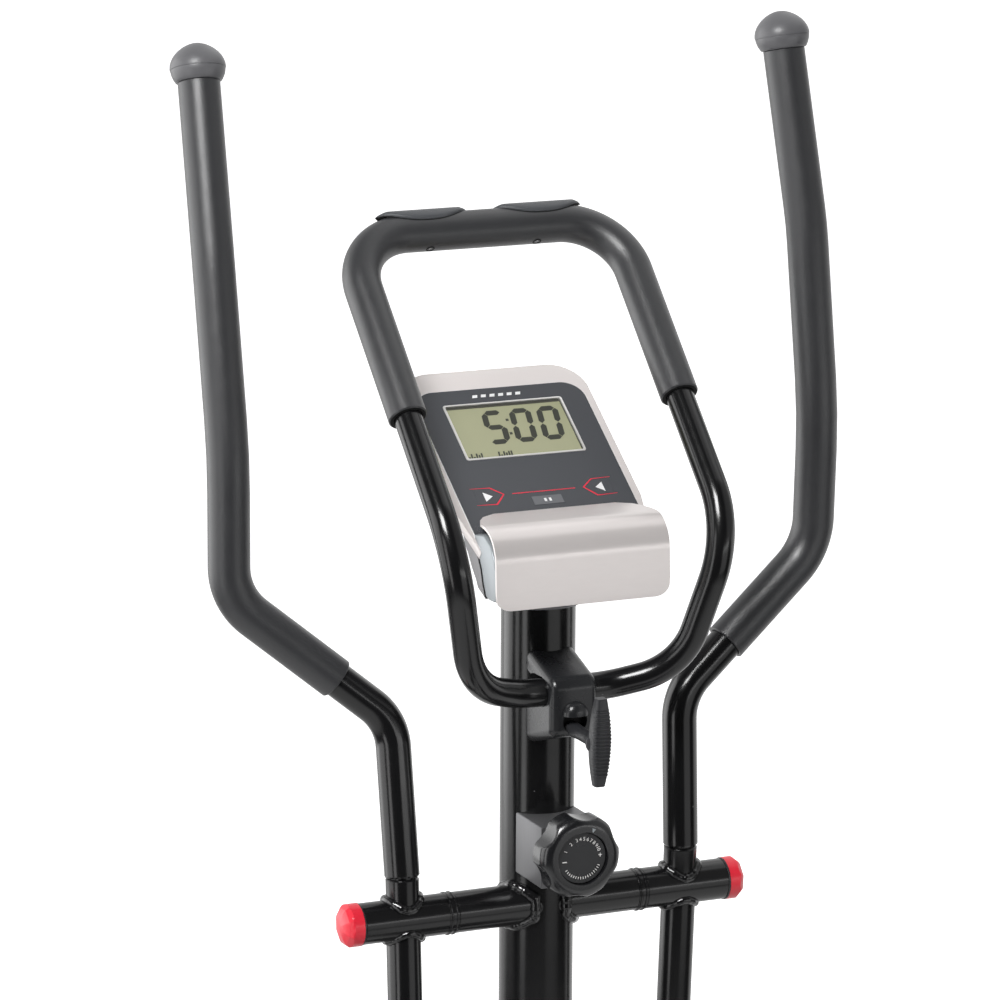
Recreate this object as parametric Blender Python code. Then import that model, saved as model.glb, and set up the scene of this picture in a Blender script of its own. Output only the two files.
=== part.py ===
"""Elliptical trainer: base frame, post, swing arms, pedal bars, crank drive, loop handle and console.

Model frame: +X is the user's right, +Y is the way the user faces, +Z is up, and the floor is Z = 0.
Lengths in this file are millimetres; every mesh is scaled to metres when it is made.
"""
import math

import bmesh
import bpy
from mathutils import Matrix, Vector

MM = 0.001
GAP = 0.3

# Main frame, measured from the post's axis.
POST_Y = 397.5
POST_RADIUS = 31.75
POST_WALL = 2.0
POST_SIDES = 24
POST_FOOT_Z = 131.0
SPINE_WIDTH = 40.0
SPINE_BOTTOM = 56.0
SPINE_TOP = 116.0
SPINE_FRONT = 112.0
SPINE_REAR = -925.0
STABILISER_RADIUS = 25.0
STABILISER_Z = 30.5
FOOT_RADIUS = 32.0
WHEEL_REACH = 60.0
FRONT_STABILISER_Y = 85.0
FRONT_STABILISER_HALF = 205.0
REAR_STABILISER_Y = -897.0
REAR_STABILISER_HALF = 240.0

# Swing arms.
PIVOT_Z = 838.0
PIVOT_Y = -13.3
SWING_REST = 3.6
ARM_X = 129.0
ARM_RADIUS = 15.0
ARM_LOWER = 600.0
ARM_JOINT_Z = 36.0
SLEEVE_RADIUS = 17.7
SLEEVE_INNER = 94.0
SLEEVE_OUTER = 169.0
PIVOT_AXLE_RADIUS = 9.5
GRIP_RADIUS = 18.0
GRIP_START_Z = 208.0

# Crank drive.
CRANK_Y = -660.0
CRANK_Z = 300.0
CRANK_RADIUS = 130.0
AXLE_RADIUS = 10.0
CRANK_ARM_X = 74.0
CRANK_ARM_THICK = 12.0
PULLEY_RADIUS = 120.0
PULLEY_X = 24.0
PULLEY_WIDTH = 10.0
FLYWHEEL_Y = -840.0
FLYWHEEL_Z = 245.0
FLYWHEEL_RADIUS = 105.0
FLYWHEEL_PULLEY = 15.0
MAGNET_PIVOT_Y = -809.5
MAGNET_PIVOT_Z = 131.0
CASE_HALF = 65.0
CASE_WALL = 3.0

# Pedal bars: rest tilt of each bar, and its crank pin.
BAR_LENGTH = 662.0
BAR_TILT_LEFT = 16.5
BAR_TILT_RIGHT = -5.8
BAR_WIDTH = 30.0
BAR_HEIGHT = 40.0

# Loop handle, clamp, console and tension control, measured from the pivot height.
LOOP_RADIUS = 12.5
LOOP_GRIP_RADIUS = 17.8
CLAMP_Y = -56.0
CLAMP_Z = 197.0
KNOB_BOLT_Z = 167.0
CONSOLE_TILT = 34.2
CONSOLE_Y = 78.0
CONSOLE_Z = 417.0
TENSION_Z = 63.0
KNOB_RADIUS = 36.5
KNOB_RECESS = 22.5
SCALLOP_RADIUS = 25.0
SCALLOP_CENTRE = 57.4


def clear_scene():
    for item in list(bpy.data.objects):
        bpy.data.objects.remove(item, do_unlink=True)


def material(name, colour, roughness, metallic=0.0):
    found = bpy.data.materials.get(name)
    if found:
        return found
    made = bpy.data.materials.new(name)
    made.use_nodes = True
    shader = made.node_tree.nodes["Principled BSDF"]
    shader.inputs["Base Color"].default_value = (*colour, 1.0)
    shader.inputs["Roughness"].default_value = roughness
    shader.inputs["Metallic"].default_value = metallic
    return made


def black_paint():
    return material("black_paint", (0.012, 0.012, 0.014), 0.15)


def steel():
    return material("steel", (0.62, 0.62, 0.63), 0.35, 1.0)


def cast_iron():
    return material("cast_iron", (0.18, 0.18, 0.19), 0.5, 1.0)


def black_plastic():
    return material("black_plastic", (0.035, 0.036, 0.04), 0.5)


def casing_plastic():
    return material("casing_plastic", (0.05, 0.05, 0.055), 0.4)


def foam():
    return material("foam", (0.06, 0.062, 0.068), 0.85)


def pad_plastic():
    return material("pad_plastic", (0.045, 0.05, 0.06), 0.6)


def red_plastic():
    return material("red_plastic", (0.6, 0.02, 0.025), 0.35)


def silver_plastic():
    return material("silver_plastic", (0.62, 0.58, 0.55), 0.35)


def grey_plastic():
    return material("grey_plastic", (0.4, 0.4, 0.42), 0.4)


def panel_film():
    return material("panel_film", (0.05, 0.055, 0.065), 0.45)


def display_glass():
    return material("display_glass", (0.36, 0.38, 0.24), 0.2)


def rubber():
    return material("rubber", (0.03, 0.03, 0.03), 0.8)


def empty(name, location, rotation=(0.0, 0.0, 0.0), parent=None):
    made = bpy.data.objects.new(name, None)
    made.location = Vector(location) * MM
    made.rotation_euler = [math.radians(angle) for angle in rotation]
    made.parent = parent
    bpy.context.collection.objects.link(made)
    return made


def finish(name, mesh, parent, surface, smooth=30.0):
    """Make an object of a bmesh drawn in millimetres."""
    bmesh.ops.recalc_face_normals(mesh, faces=mesh.faces)
    bmesh.ops.scale(mesh, vec=(MM, MM, MM), verts=mesh.verts)
    data = bpy.data.meshes.new(name)
    mesh.to_mesh(data)
    mesh.free()
    data.materials.append(surface)
    data.shade_smooth()
    data.set_sharp_from_angle(angle=math.radians(smooth))
    made = bpy.data.objects.new(name, data)
    made.parent = parent
    bpy.context.collection.objects.link(made)
    return made


def helper(name, mesh, parent):
    """A cutter or a welded-on shape, used by a Boolean and not built by itself."""
    made = finish(name, mesh, parent, black_paint())
    made.hide_render = True
    made.display_type = "WIRE"
    return made


def boolean(target, operand, operation):
    step = target.modifiers.new(operation.lower(), "BOOLEAN")
    step.operation = operation
    step.solver = "EXACT"
    step.object = operand


def weld(target, mesh):
    """Join a shape to an object as one body."""
    count = len(target.modifiers)
    boolean(target, helper("weld_%s_%d" % (target.name, count), mesh, target.parent), "UNION")


def cut(target, mesh):
    """Cut a shape out of an object."""
    count = len(target.modifiers)
    boolean(target, helper("cut_%s_%d" % (target.name, count), mesh, target.parent), "DIFFERENCE")


def box(low, high, bevel=0.0):
    mesh = bmesh.new()
    bmesh.ops.create_cube(mesh, size=1.0)
    low = Vector(low)
    high = Vector(high)
    bmesh.ops.scale(mesh, vec=high - low, verts=mesh.verts)
    bmesh.ops.translate(mesh, vec=(low + high) / 2.0, verts=mesh.verts)
    if bevel:
        bmesh.ops.bevel(mesh, geom=mesh.edges[:], offset=bevel, segments=2, profile=0.5, affect="EDGES")
    return mesh


def rod(start, end, radius, segments=16):
    """A solid cylinder between two points."""
    start = Vector(start)
    end = Vector(end)
    axis = end - start
    mesh = bmesh.new()
    bmesh.ops.create_cone(mesh, cap_ends=True, segments=segments, radius1=radius, radius2=radius,
                          depth=axis.length)
    turn = axis.to_track_quat("Z", "Y").to_matrix().to_4x4()
    bmesh.ops.transform(mesh, matrix=Matrix.Translation((start + end) / 2.0) @ turn, verts=mesh.verts)
    return mesh


def turned(profile, centre, axis, segments=20):
    """A closed profile of (distance along the axis, radius), turned about the axis."""
    centre = Vector(centre)
    axis = Vector(axis).normalized()
    side = axis.orthogonal().normalized()
    other = axis.cross(side)
    mesh = bmesh.new()
    rings = []
    for along, radius in profile:
        if radius < 0.001:
            rings.append([mesh.verts.new(centre + axis * along)])
            continue
        ring = []
        for step in range(segments):
            angle = 2.0 * math.pi * step / segments
            spoke = side * math.cos(angle) + other * math.sin(angle)
            ring.append(mesh.verts.new(centre + axis * along + spoke * radius))
        rings.append(ring)
    for first, second in zip(rings, rings[1:] + rings[:1]):
        if len(first) == 1 and len(second) == 1:
            continue
        for step in range(segments):
            after = (step + 1) % segments
            if len(first) == 1:
                mesh.faces.new((first[0], second[step], second[after]))
            elif len(second) == 1:
                mesh.faces.new((first[step], first[after], second[0]))
            else:
                mesh.faces.new((first[step], first[after], second[after], second[step]))
    return mesh


def plate(outline, axis, low, high, bevel=0.0):
    """An outline in the plane across an axis, pulled out along it."""
    mesh = bmesh.new()
    verts = []
    for first, second in outline:
        if axis == "X":
            place = (low, first, second)
        elif axis == "Y":
            place = (first, low, second)
        else:
            place = (first, second, low)
        verts.append(mesh.verts.new(place))
    face = mesh.faces.new(verts)
    grown = bmesh.ops.extrude_face_region(mesh, geom=[face])
    moved = [item for item in grown["geom"] if isinstance(item, bmesh.types.BMVert)]
    shift = Vector([high - low if name == axis else 0.0 for name in "XYZ"])
    bmesh.ops.translate(mesh, vec=shift, verts=moved)
    if bevel:
        rim = []
        for edge in mesh.edges:
            ends = [vert.co["XYZ".index(axis)] for vert in edge.verts]
            if abs(ends[0] - ends[1]) < 0.001:
                rim.append(edge)
        bmesh.ops.bevel(mesh, geom=rim, offset=bevel, segments=2, profile=0.5, affect="EDGES")
    return mesh


def rounded(width_low, width_high, height_low, height_high, radius, steps=5):
    """A rectangle with round corners."""
    corners = ((width_high, height_high, 0), (width_low, height_high, 90),
               (width_low, height_low, 180), (width_high, height_low, 270))
    outline = []
    for across, up, start in corners:
        centre_across = across - radius if across == width_high else across + radius
        centre_up = up - radius if up == height_high else up + radius
        for step in range(steps + 1):
            angle = math.radians(start + 90.0 * step / steps)
            outline.append((centre_across + radius * math.cos(angle), centre_up + radius * math.sin(angle)))
    return outline


def hull(circles, steps=48):
    """The belt line around circles of (first, second, radius)."""
    points = []
    for step in range(steps):
        angle = 2.0 * math.pi * step / steps
        way = (math.cos(angle), math.sin(angle))
        best = max(circles, key=lambda c: c[0] * way[0] + c[1] * way[1] + c[2])
        points.append((best[0] + best[2] * way[0], best[1] + best[2] * way[1]))
    return points


def bent(points, radii):
    """A path through straight runs, with an arc of the given radius at each inner point."""
    points = [Vector(point) for point in points]
    path = [points[0]]
    for before, corner, after, radius in zip(points, points[1:], points[2:], radii):
        steps = 3 if (corner - before).angle(after - corner) > 0.5 else 1
        back = (before - corner).normalized()
        ahead = (after - corner).normalized()
        half = back.angle(ahead) / 2.0
        reach = radius / math.tan(half)
        centre = corner + (back + ahead).normalized() * (radius / math.sin(half))
        start = corner + back * reach - centre
        end = corner + ahead * reach - centre
        sweep = start.angle(end)
        for step in range(steps + 1):
            share = step / steps
            first = math.sin((1.0 - share) * sweep) / math.sin(sweep)
            second = math.sin(share * sweep) / math.sin(sweep)
            path.append(centre + start * first + end * second)
    path.append(points[-1])
    return path


def sweep_rings(mesh, path, radius, segments, guide):
    """Rings square to a path; the guide, never along the path, sets where each ring starts."""
    rings = []
    for index, point in enumerate(path):
        before = path[max(index - 1, 0)]
        after = path[min(index + 1, len(path) - 1)]
        ahead = ((after - point).normalized() + (point - before).normalized()).normalized()
        normal = ahead.cross(guide).normalized()
        other = ahead.cross(normal)
        ring = []
        for step in range(segments):
            angle = 2.0 * math.pi * step / segments
            spoke = normal * math.cos(angle) + other * math.sin(angle)
            ring.append(mesh.verts.new(point + spoke * radius))
        rings.append(ring)
    return rings


def skin(mesh, first, second):
    count = len(first)
    for step in range(count):
        after = (step + 1) % count
        mesh.faces.new((first[step], first[after], second[after], second[step]))


def tube(path, outer, inner=0.0, segments=12, guide=(0.0, 1.0, 0.0)):
    """A round tube, or a solid bar, along a path."""
    guide = Vector(guide)
    mesh = bmesh.new()
    outside = sweep_rings(mesh, path, outer, segments, guide)
    for first, second in zip(outside, outside[1:]):
        skin(mesh, first, second)
    if inner:
        inside = sweep_rings(mesh, path, inner, segments, guide)
        for first, second in zip(inside, inside[1:]):
            skin(mesh, first, second)
        skin(mesh, outside[0], inside[0])
        skin(mesh, outside[-1], inside[-1])
    else:
        mesh.faces.new(outside[0])
        mesh.faces.new(outside[-1])
    return mesh


def cut_path(path, low_z):
    """The part of a rising path above a height."""
    for index in range(1, len(path)):
        if path[index].z > low_z:
            before = path[index - 1]
            share = (low_z - before.z) / (path[index].z - before.z)
            return [before.lerp(path[index], share)] + path[index:]
    return path


# Base frame

def make_main_frame(base):
    half = SPINE_WIDTH / 2.0
    outline = rounded(-half, half, SPINE_BOTTOM, SPINE_TOP, 6.0, 2)
    frame = finish("main_frame", plate(outline, "Y", SPINE_REAR, SPINE_FRONT), base, black_paint())
    weld(frame, rod((0, 0, SPINE_BOTTOM + 2), (0, 0, 216), 36.0, 24))
    weld(frame, box((-half + 1, CRANK_Y - 30, 80), (half - 1, CRANK_Y + 30, CRANK_Z)))
    weld(frame, rod((-34, CRANK_Y, CRANK_Z), (20, CRANK_Y, CRANK_Z), 22.0, 18))
    for low, high in ((-25.0, -19.0), (37.0, 43.0)):
        upright = rounded(FLYWHEEL_Y - 25, FLYWHEEL_Y + 25, 60, FLYWHEEL_Z + 22, 20.0, 3)
        weld(frame, plate(upright, "X", low, high))
    weld(frame, box((15, FLYWHEEL_Y - 20, 66), (40, FLYWHEEL_Y + 20, 96)))
    for low, high in ((-19.5, -15.5), (15.5, 19.5)):
        weld(frame, box((low, MAGNET_PIVOT_Y - 9, 100), (high, MAGNET_PIVOT_Y + 9, MAGNET_PIVOT_Z + 9)))
    for place in (FRONT_STABILISER_Y, REAR_STABILISER_Y):
        weld(frame, box((-34, place - 23, 44), (34, place + 23, SPINE_BOTTOM + 3)))
        cut(frame, rod((-50, place, STABILISER_Z), (50, place, STABILISER_Z), STABILISER_RADIUS + 0.6, 24))
    hollow = box((-half + 2, SPINE_REAR - 5, SPINE_BOTTOM + 2), (half - 2, SPINE_FRONT + 5, SPINE_TOP - 2))
    cut(frame, hollow)
    cut(frame, rod((0, 0, POST_FOOT_Z - GAP), (0, 0, 230), POST_RADIUS + GAP, POST_SIDES))
    cut(frame, rod((0, 0, 100), (0, 0, 150), 27.0, 16))
    cut(frame, rod((-60, CRANK_Y, CRANK_Z), (60, CRANK_Y, CRANK_Z), AXLE_RADIUS + GAP, 16))
    cut(frame, rod((-60, FLYWHEEL_Y, FLYWHEEL_Z), (60, FLYWHEEL_Y, FLYWHEEL_Z), 6.0 + GAP, 16))
    pin_hole = rod((-60, MAGNET_PIVOT_Y, MAGNET_PIVOT_Z), (60, MAGNET_PIVOT_Y, MAGNET_PIVOT_Z), 4.0 + GAP, 12)
    cut(frame, pin_hole)
    cut(frame, rod((0, -735, 104), (0, -735, 130), 5.0, 12))
    return frame


def make_stabiliser(base, name, place_y, half):
    inside = STABILISER_RADIUS - 2.0
    profile = [(-half, inside), (-half, STABILISER_RADIUS), (half, STABILISER_RADIUS), (half, inside)]
    finish(name, turned(profile, (0, place_y, STABILISER_Z), (1, 0, 0)), base, black_paint())


def make_foot(base, name, side, place_y, half, wheel):
    """An end cap that is also the foot: its underside is flat on the floor."""
    inner = half - 28.0
    profile = [(inner, STABILISER_RADIUS + GAP), (inner, FOOT_RADIUS - 2), (inner + 3, FOOT_RADIUS),
               (half + 18, FOOT_RADIUS), (half + 26, FOOT_RADIUS - 5), (half + 30, FOOT_RADIUS - 14),
               (half + 30, 0.0), (half + GAP, 0.0), (half + GAP, STABILISER_RADIUS + GAP)]
    centre = (0, place_y, STABILISER_Z)
    foot = finish(name, turned(profile, centre, (side, 0, 0), 20), base, black_plastic())
    if wheel:
        reach = place_y + WHEEL_REACH
        low, high = sorted((side * (inner + 3), side * (inner + 10)))
        weld(foot, box((low, place_y + 27, 18), (high, reach + 9, 42)))
        weld(foot, rod((side * (inner + 6), reach, 30), (side * (inner + 38), reach, 30), 5.0, 16))
    cut(foot, box((-400, place_y - 60, -40), (400, place_y + 90, 0)))


def make_transport_wheel(base, name, side):
    inner = FRONT_STABILISER_HALF - 28.0 + 11.0
    axis = empty(name + "_axis", (0, FRONT_STABILISER_Y + WHEEL_REACH, 30), parent=base)
    profile = [(inner, 5.3), (inner, 20.0), (inner + 2, 24.0), (inner + 20, 24.0), (inner + 22, 20.0),
               (inner + 22, 5.3)]
    finish(name, turned(profile, (0, 0, 0), (side, 0, 0), 24), axis, rubber())


def make_post(base):
    bottom = POST_FOOT_Z
    path = [Vector((0, 0, bottom)), Vector((0, 0, PIVOT_Z + 296))]
    post = finish("front_post", tube(path, POST_RADIUS, segments=POST_SIDES), base, black_paint())
    cut(post, rod((0, 0, bottom - 5), (0, 0, PIVOT_Z + 300), POST_RADIUS - POST_WALL, POST_SIDES))
    weld(post, rod((-80, PIVOT_Y, PIVOT_Z), (80, PIVOT_Y, PIVOT_Z), 17.5, 20))
    cut(post, rod((-90, PIVOT_Y, PIVOT_Z), (90, PIVOT_Y, PIVOT_Z), PIVOT_AXLE_RADIUS + GAP, 16))
    cut(post, rod((0, -45, PIVOT_Z + TENSION_Z), (0, -20, PIVOT_Z + TENSION_Z), 7.0, 12))
    collar = [(0, POST_RADIUS + GAP), (0, 40.0), (8, 42.0), (30, 42.0), (44, 36.0), (44, POST_RADIUS + GAP)]
    finish("post_collar", turned(collar, (0, 0, 216.3), (0, 0, 1), POST_SIDES), base, black_plastic())
    axle = rod((-168, PIVOT_Y, PIVOT_Z), (168, PIVOT_Y, PIVOT_Z), PIVOT_AXLE_RADIUS, 16)
    finish("pivot_axle", axle, base, steel())


def casing_outline(grow):
    circles = [(CRANK_Y, CRANK_Z, 158.0 + grow), (FLYWHEEL_Y, FLYWHEEL_Z, 124.0 + grow),
               (CRANK_Y + 60, 130, 34.0 + grow), (FLYWHEEL_Y - 60, 130, 34.0 + grow)]
    return hull(circles, 36)


def make_casing(base, name, side):
    """Half of the drive casing: a shell open on the middle plane."""
    inner, outer = 0.15 * side, CASE_HALF * side
    low, high = sorted((inner, outer))
    shell = finish(name, plate(casing_outline(0.0), "X", low, high), base, casing_plastic())
    low, high = sorted((-5.0 * side, (CASE_HALF - CASE_WALL) * side))
    cut(shell, plate(casing_outline(-CASE_WALL), "X", low, high))
    half = SPINE_WIDTH / 2.0 + GAP
    cut(shell, box((-half, -1200, 0), (half, 0, SPINE_TOP + GAP)))
    cut(shell, box((-48, FLYWHEEL_Y - 26, 60), (48, FLYWHEEL_Y + 26, SPINE_TOP + 6)))
    cut(shell, rod((side * 40, CRANK_Y, CRANK_Z), (side * 90, CRANK_Y, CRANK_Z), 16.0, 20))


# Drive

def make_drive(base):
    crank = empty("crank_axis", (0, CRANK_Y, CRANK_Z), parent=base)
    finish("crank_axle", rod((-98, 0, 0), (98, 0, 0), AXLE_RADIUS, 20), crank, steel())
    profile = [(PULLEY_X, AXLE_RADIUS + GAP), (PULLEY_X, PULLEY_RADIUS), (PULLEY_X + 2, PULLEY_RADIUS),
               (PULLEY_X + 2, PULLEY_RADIUS - 3), (PULLEY_X + 8, PULLEY_RADIUS - 3),
               (PULLEY_X + 8, PULLEY_RADIUS), (PULLEY_X + 10, PULLEY_RADIUS),
               (PULLEY_X + 10, AXLE_RADIUS + GAP)]
    finish("drive_pulley", turned(profile, (0, 0, 0), (1, 0, 0), 28), crank, black_plastic())
    across, up = left_pin()
    make_crank_arm(crank, "crank_arm_left", -1.0, across, up)
    make_crank_arm(crank, "crank_arm_right", 1.0, -across, -up)
    make_flywheel(base)
    make_belt(base)


def bar_point(side, along):
    """A point of a pedal bar's line at rest, in the post's frame."""
    lean = math.radians(SWING_REST) * side
    tilt = math.radians(BAR_TILT_RIGHT if side > 0 else BAR_TILT_LEFT)
    front_y = PIVOT_Y + ARM_LOWER * math.sin(lean)
    front_z = PIVOT_Z - ARM_LOWER * math.cos(lean)
    return front_y - along * math.cos(tilt), front_z + along * math.sin(tilt)


def left_pin():
    pin_y, pin_z = bar_point(-1.0, BAR_LENGTH)
    return pin_y - CRANK_Y, pin_z - CRANK_Z


def make_crank_arm(crank, name, side, across, up):
    outline = hull([(0, 0, 19.0), (across, up, 15.0)], 28)
    low, high = sorted((side * CRANK_ARM_X, side * (CRANK_ARM_X + CRANK_ARM_THICK)))
    arm = finish(name, plate(outline, "X", low, high), crank, black_paint())
    cut(arm, rod((side * 60, 0, 0), (side * 110, 0, 0), AXLE_RADIUS + GAP, 20))


def make_flywheel(base):
    axis = empty("flywheel_axis", (0, FLYWHEEL_Y, FLYWHEEL_Z), parent=base)
    small = PULLEY_X
    profile = [(-17, 6.3), (-17, 22), (-6, 26), (-6, 78), (-14, 82), (-14, FLYWHEEL_RADIUS),
               (14, FLYWHEEL_RADIUS), (14, 82), (6, 78), (6, 26), (small, FLYWHEEL_PULLEY + 3),
               (small + 2, FLYWHEEL_PULLEY), (small + 8, FLYWHEEL_PULLEY), (small + 10, FLYWHEEL_PULLEY + 3),
               (small + 10, 6.3)]
    finish("flywheel", turned(profile, (0, 0, 0), (1, 0, 0), 24), axis, cast_iron())
    shaft = rod((-34, FLYWHEEL_Y, FLYWHEEL_Z), (52, FLYWHEEL_Y, FLYWHEEL_Z), 6.0, 16)
    axle = finish("flywheel_axle", shaft, base, steel())
    weld(axle, rod((-32, FLYWHEEL_Y, FLYWHEEL_Z), (-25.3, FLYWHEEL_Y, FLYWHEEL_Z), 10.0, 6))
    weld(axle, rod((43.3, FLYWHEEL_Y, FLYWHEEL_Z), (50, FLYWHEEL_Y, FLYWHEEL_Z), 10.0, 6))


def belt_outline(grow):
    big = (CRANK_Y, CRANK_Z, PULLEY_RADIUS - 3 + grow)
    return hull([big, (FLYWHEEL_Y, FLYWHEEL_Z, FLYWHEEL_PULLEY + grow)], 48)


def make_belt(base):
    low, high = PULLEY_X + 2 + GAP, PULLEY_X + 8 - GAP
    belt = finish("drive_belt", plate(belt_outline(2.3), "X", low, high), base, rubber())
    cut(belt, plate(belt_outline(GAP + 0.3), "X", low - 5, high + 5))


def make_magnet_bracket(base):
    pivot = empty("magnet_axis", (0, MAGNET_PIVOT_Y, MAGNET_PIVOT_Z), parent=base)
    outline = []
    across, up = FLYWHEEL_Y - MAGNET_PIVOT_Y, FLYWHEEL_Z - MAGNET_PIVOT_Z
    for radius, order in ((108.5, range(9)), (114.5, range(8, -1, -1))):
        for step in order:
            angle = math.radians(-76.0 + 62.0 * step / 8.0)
            outline.append((across + radius * math.cos(angle), up + radius * math.sin(angle)))
    bracket = finish("magnet_bracket", plate(outline, "X", -13, 13), pivot, steel())
    weld(bracket, rod((-13, 0, 0), (13, 0, 0), 7.0, 16))
    weld(bracket, rod((-22, 0, 0), (22, 0, 0), 4.0, 12))


def make_cable(base):
    """The tension cable: down the post, along the spine and up to the magnet bracket."""
    exit_z = PIVOT_Z + TENSION_Z
    points = [(0, -40, exit_z), (0, 8, exit_z), (0, 20, PIVOT_Z + 20), (0, 20, 160),
              (0, 12, 86), (0, -735, 86), (0, -735, 150)]
    path = bent(points, [12, 40, 60, 30, 14])
    finish("tension_cable", tube(path, 2.5, segments=8, guide=(1, 0, 0)), base, black_plastic())


# Swing arms

def make_swing(base, side):
    word = "left" if side < 0 else "right"
    pivot = empty("swing_%s_axis" % word, (0, PIVOT_Y, PIVOT_Z), (side * SWING_REST, 0, 0), base)
    make_lower_arm(pivot, word, side)
    make_upper_handle(pivot, word, side)
    sleeve_face = SLEEVE_OUTER + GAP
    bore = PIVOT_AXLE_RADIUS + GAP
    ring = [(80.3, bore), (80.3, 18.6), (86.0, 18.6), (86.5, 17.8), (87.5, 17.8), (88.0, 18.6),
            (93.7, 18.6), (93.7, bore)]
    finish("arm_ring_" + word, turned(ring, (0, 0, 0), (side, 0, 0), 18), pivot, black_plastic())
    cap = [(sleeve_face, 0), (sleeve_face, 18.0), (sleeve_face + 5, 18.6), (sleeve_face + 12, 13.0),
           (sleeve_face + 18, 6.0), (sleeve_face + 18, 0)]
    finish("arm_end_cap_" + word, turned(cap, (0, 0, 0), (side, 0, 0), 8), pivot, red_plastic(), 10.0)
    return pivot


def make_lower_arm(pivot, word, side):
    centre = side * ARM_X
    tall = rod((centre, 0, -ARM_LOWER), (centre, 0, ARM_JOINT_Z), ARM_RADIUS, 16)
    arm = finish("lower_arm_" + word, tall, pivot, black_paint())
    weld(arm, rod((centre, 0, 0), (centre, 0, 110), 11.9, 12))
    weld(arm, rod((side * SLEEVE_INNER, 0, 0), (side * SLEEVE_OUTER, 0, 0), SLEEVE_RADIUS, 20))
    weld(arm, rod((centre - 18, 0, -ARM_LOWER), (centre + 18, 0, -ARM_LOWER), 17.0, 16))
    cut(arm, rod((centre, 0, -ARM_LOWER + 20), (centre, 0, -22), 12.8, 12))
    cut(arm, rod((centre, 0, 22), (centre, 0, 130), 9.8, 12))
    cut(arm, rod((side * 60, 0, 0), (side * 180, 0, 0), PIVOT_AXLE_RADIUS + GAP, 16))
    cut(arm, rod((centre - 40, 0, -ARM_LOWER), (centre + 40, 0, -ARM_LOWER), 6.0 + GAP, 12))
    cut(arm, rod((centre, 0, -ARM_LOWER + 34), (centre, 30, -ARM_LOWER + 34), 3.0, 10))


def handle_path(side):
    points = [(ARM_X, 0, ARM_JOINT_Z + GAP), (ARM_X, 0, 153), (259.5, 28, 277), (257.5, 37, 400),
              (252, 72, 560), (246, 109, 704)]
    points = [(side * across, ahead, up) for across, ahead, up in points]
    return bent(points, [48, 55, 300, 300])


def make_upper_handle(pivot, word, side):
    path = handle_path(side)
    finish("upper_handle_" + word, tube(path, ARM_RADIUS, 12.7), pivot, black_paint())
    grip = cut_path(path, GRIP_START_Z)
    grip[-1] = grip[-1].lerp(grip[-2], 0.02)
    finish("foam_grip_" + word, tube(grip, GRIP_RADIUS, ARM_RADIUS + GAP), pivot, foam())
    top = path[-1]
    ahead = (path[-1] - path[-2]).normalized()
    profile = [(GAP, 0), (GAP, 17.5), (1, 20.5), (11, 21.0), (12, 23.6), (17, 23.2), (24, 19.5), (30, 12.0),
               (33, 0)]
    finish("grip_cap_" + word, turned(profile, top, ahead, 20), pivot, black_plastic())


def make_pedal(pivot, side):
    word = "left" if side < 0 else "right"
    tilt = BAR_TILT_RIGHT if side > 0 else BAR_TILT_LEFT
    front = empty("pedal_%s_axis" % word, (0, 0, -ARM_LOWER), (-side * SWING_REST - tilt, 0, 0), pivot)
    centre = side * ARM_X
    half = BAR_WIDTH / 2.0
    up = BAR_HEIGHT / 2.0
    section = rounded(centre - half, centre + half, -up, up, 5.0, 1)
    bar = finish("pedal_bar_" + word, plate(section, "Y", -BAR_LENGTH + 10, -36), front, black_paint())
    weld(bar, box((centre - 23.5, -51, -15), (centre + 23.5, -33.5, 15)))
    for low, high in ((centre - 24, centre - 19), (centre + 19, centre + 24)):
        weld(bar, plate(rounded(-46, 18, -18, 18, 14.0, 2), "X", low, high))
    weld(bar, rod((centre - 19, -BAR_LENGTH, 0), (centre + 19, -BAR_LENGTH, 0), 23.0, 18))
    pin_end = side * (CRANK_ARM_X + CRANK_ARM_THICK + 1.0)
    weld(bar, rod((pin_end, -BAR_LENGTH, 0), (centre + side * 15, -BAR_LENGTH, 0), 8.0, 12))
    for place in (-180, -430):
        low, high = sorted((centre - side * 12, centre + side * 62))
        weld(bar, box((low, place - 15, 10), (high, place + 15, 27.7)))
    cut(bar, box((centre - half + 2.5, -BAR_LENGTH + 30, -up + 2.5), (centre + half - 2.5, -54, up - 2.5)))
    cut(bar, rod((centre - 40, 0, 0), (centre + 40, 0, 0), 6.0 + GAP, 12))
    cut(bar, rod((centre, -300, -40), (centre, -300, 0), 5.0, 12))
    shank = rod((centre - 30, 0, 0), (centre + 30, 0, 0), 6.0, 12)
    bolt = finish("pivot_bolt_" + word, shank, front, steel())
    for low, high in ((centre - 30, centre - 24 - GAP), (centre + 24 + GAP, centre + 30)):
        weld(bolt, rod((low, 0, 0), (high, 0, 0), 10.0, 6))
    make_footplate(front, word, side)


def make_footplate(front, word, side):
    low, high = sorted((side * 100.0, side * 245.0))
    outline = rounded(low, high, -475, -135, 32.0, 3)
    tray = finish("footplate_" + word, plate(outline, "Z", 28.0, 58.0), front, black_plastic())
    cut(tray, plate(rounded(low + 5, high - 5, -470, -140, 27.0, 3), "Z", 36.0, 70.0))
    cut(tray, plate(rounded(low - 20, high + 20, -440, -180, 30.0, 3), "Z", 48.0, 70.0))


# Loop handle and clamp

def loop_path():
    half = [(0.6, CLAMP_Y, CLAMP_Z), (40, CLAMP_Y, CLAMP_Z), (106, -90, 214), (123, -109, 334),
            (119.5, 124, 562)]
    left = [(-across, ahead, up) for across, ahead, up in reversed(half)]
    points = half + left
    radii = [60, 58, 70, 55, 55, 70, 58, 60]
    return bent(points, radii)


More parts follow.
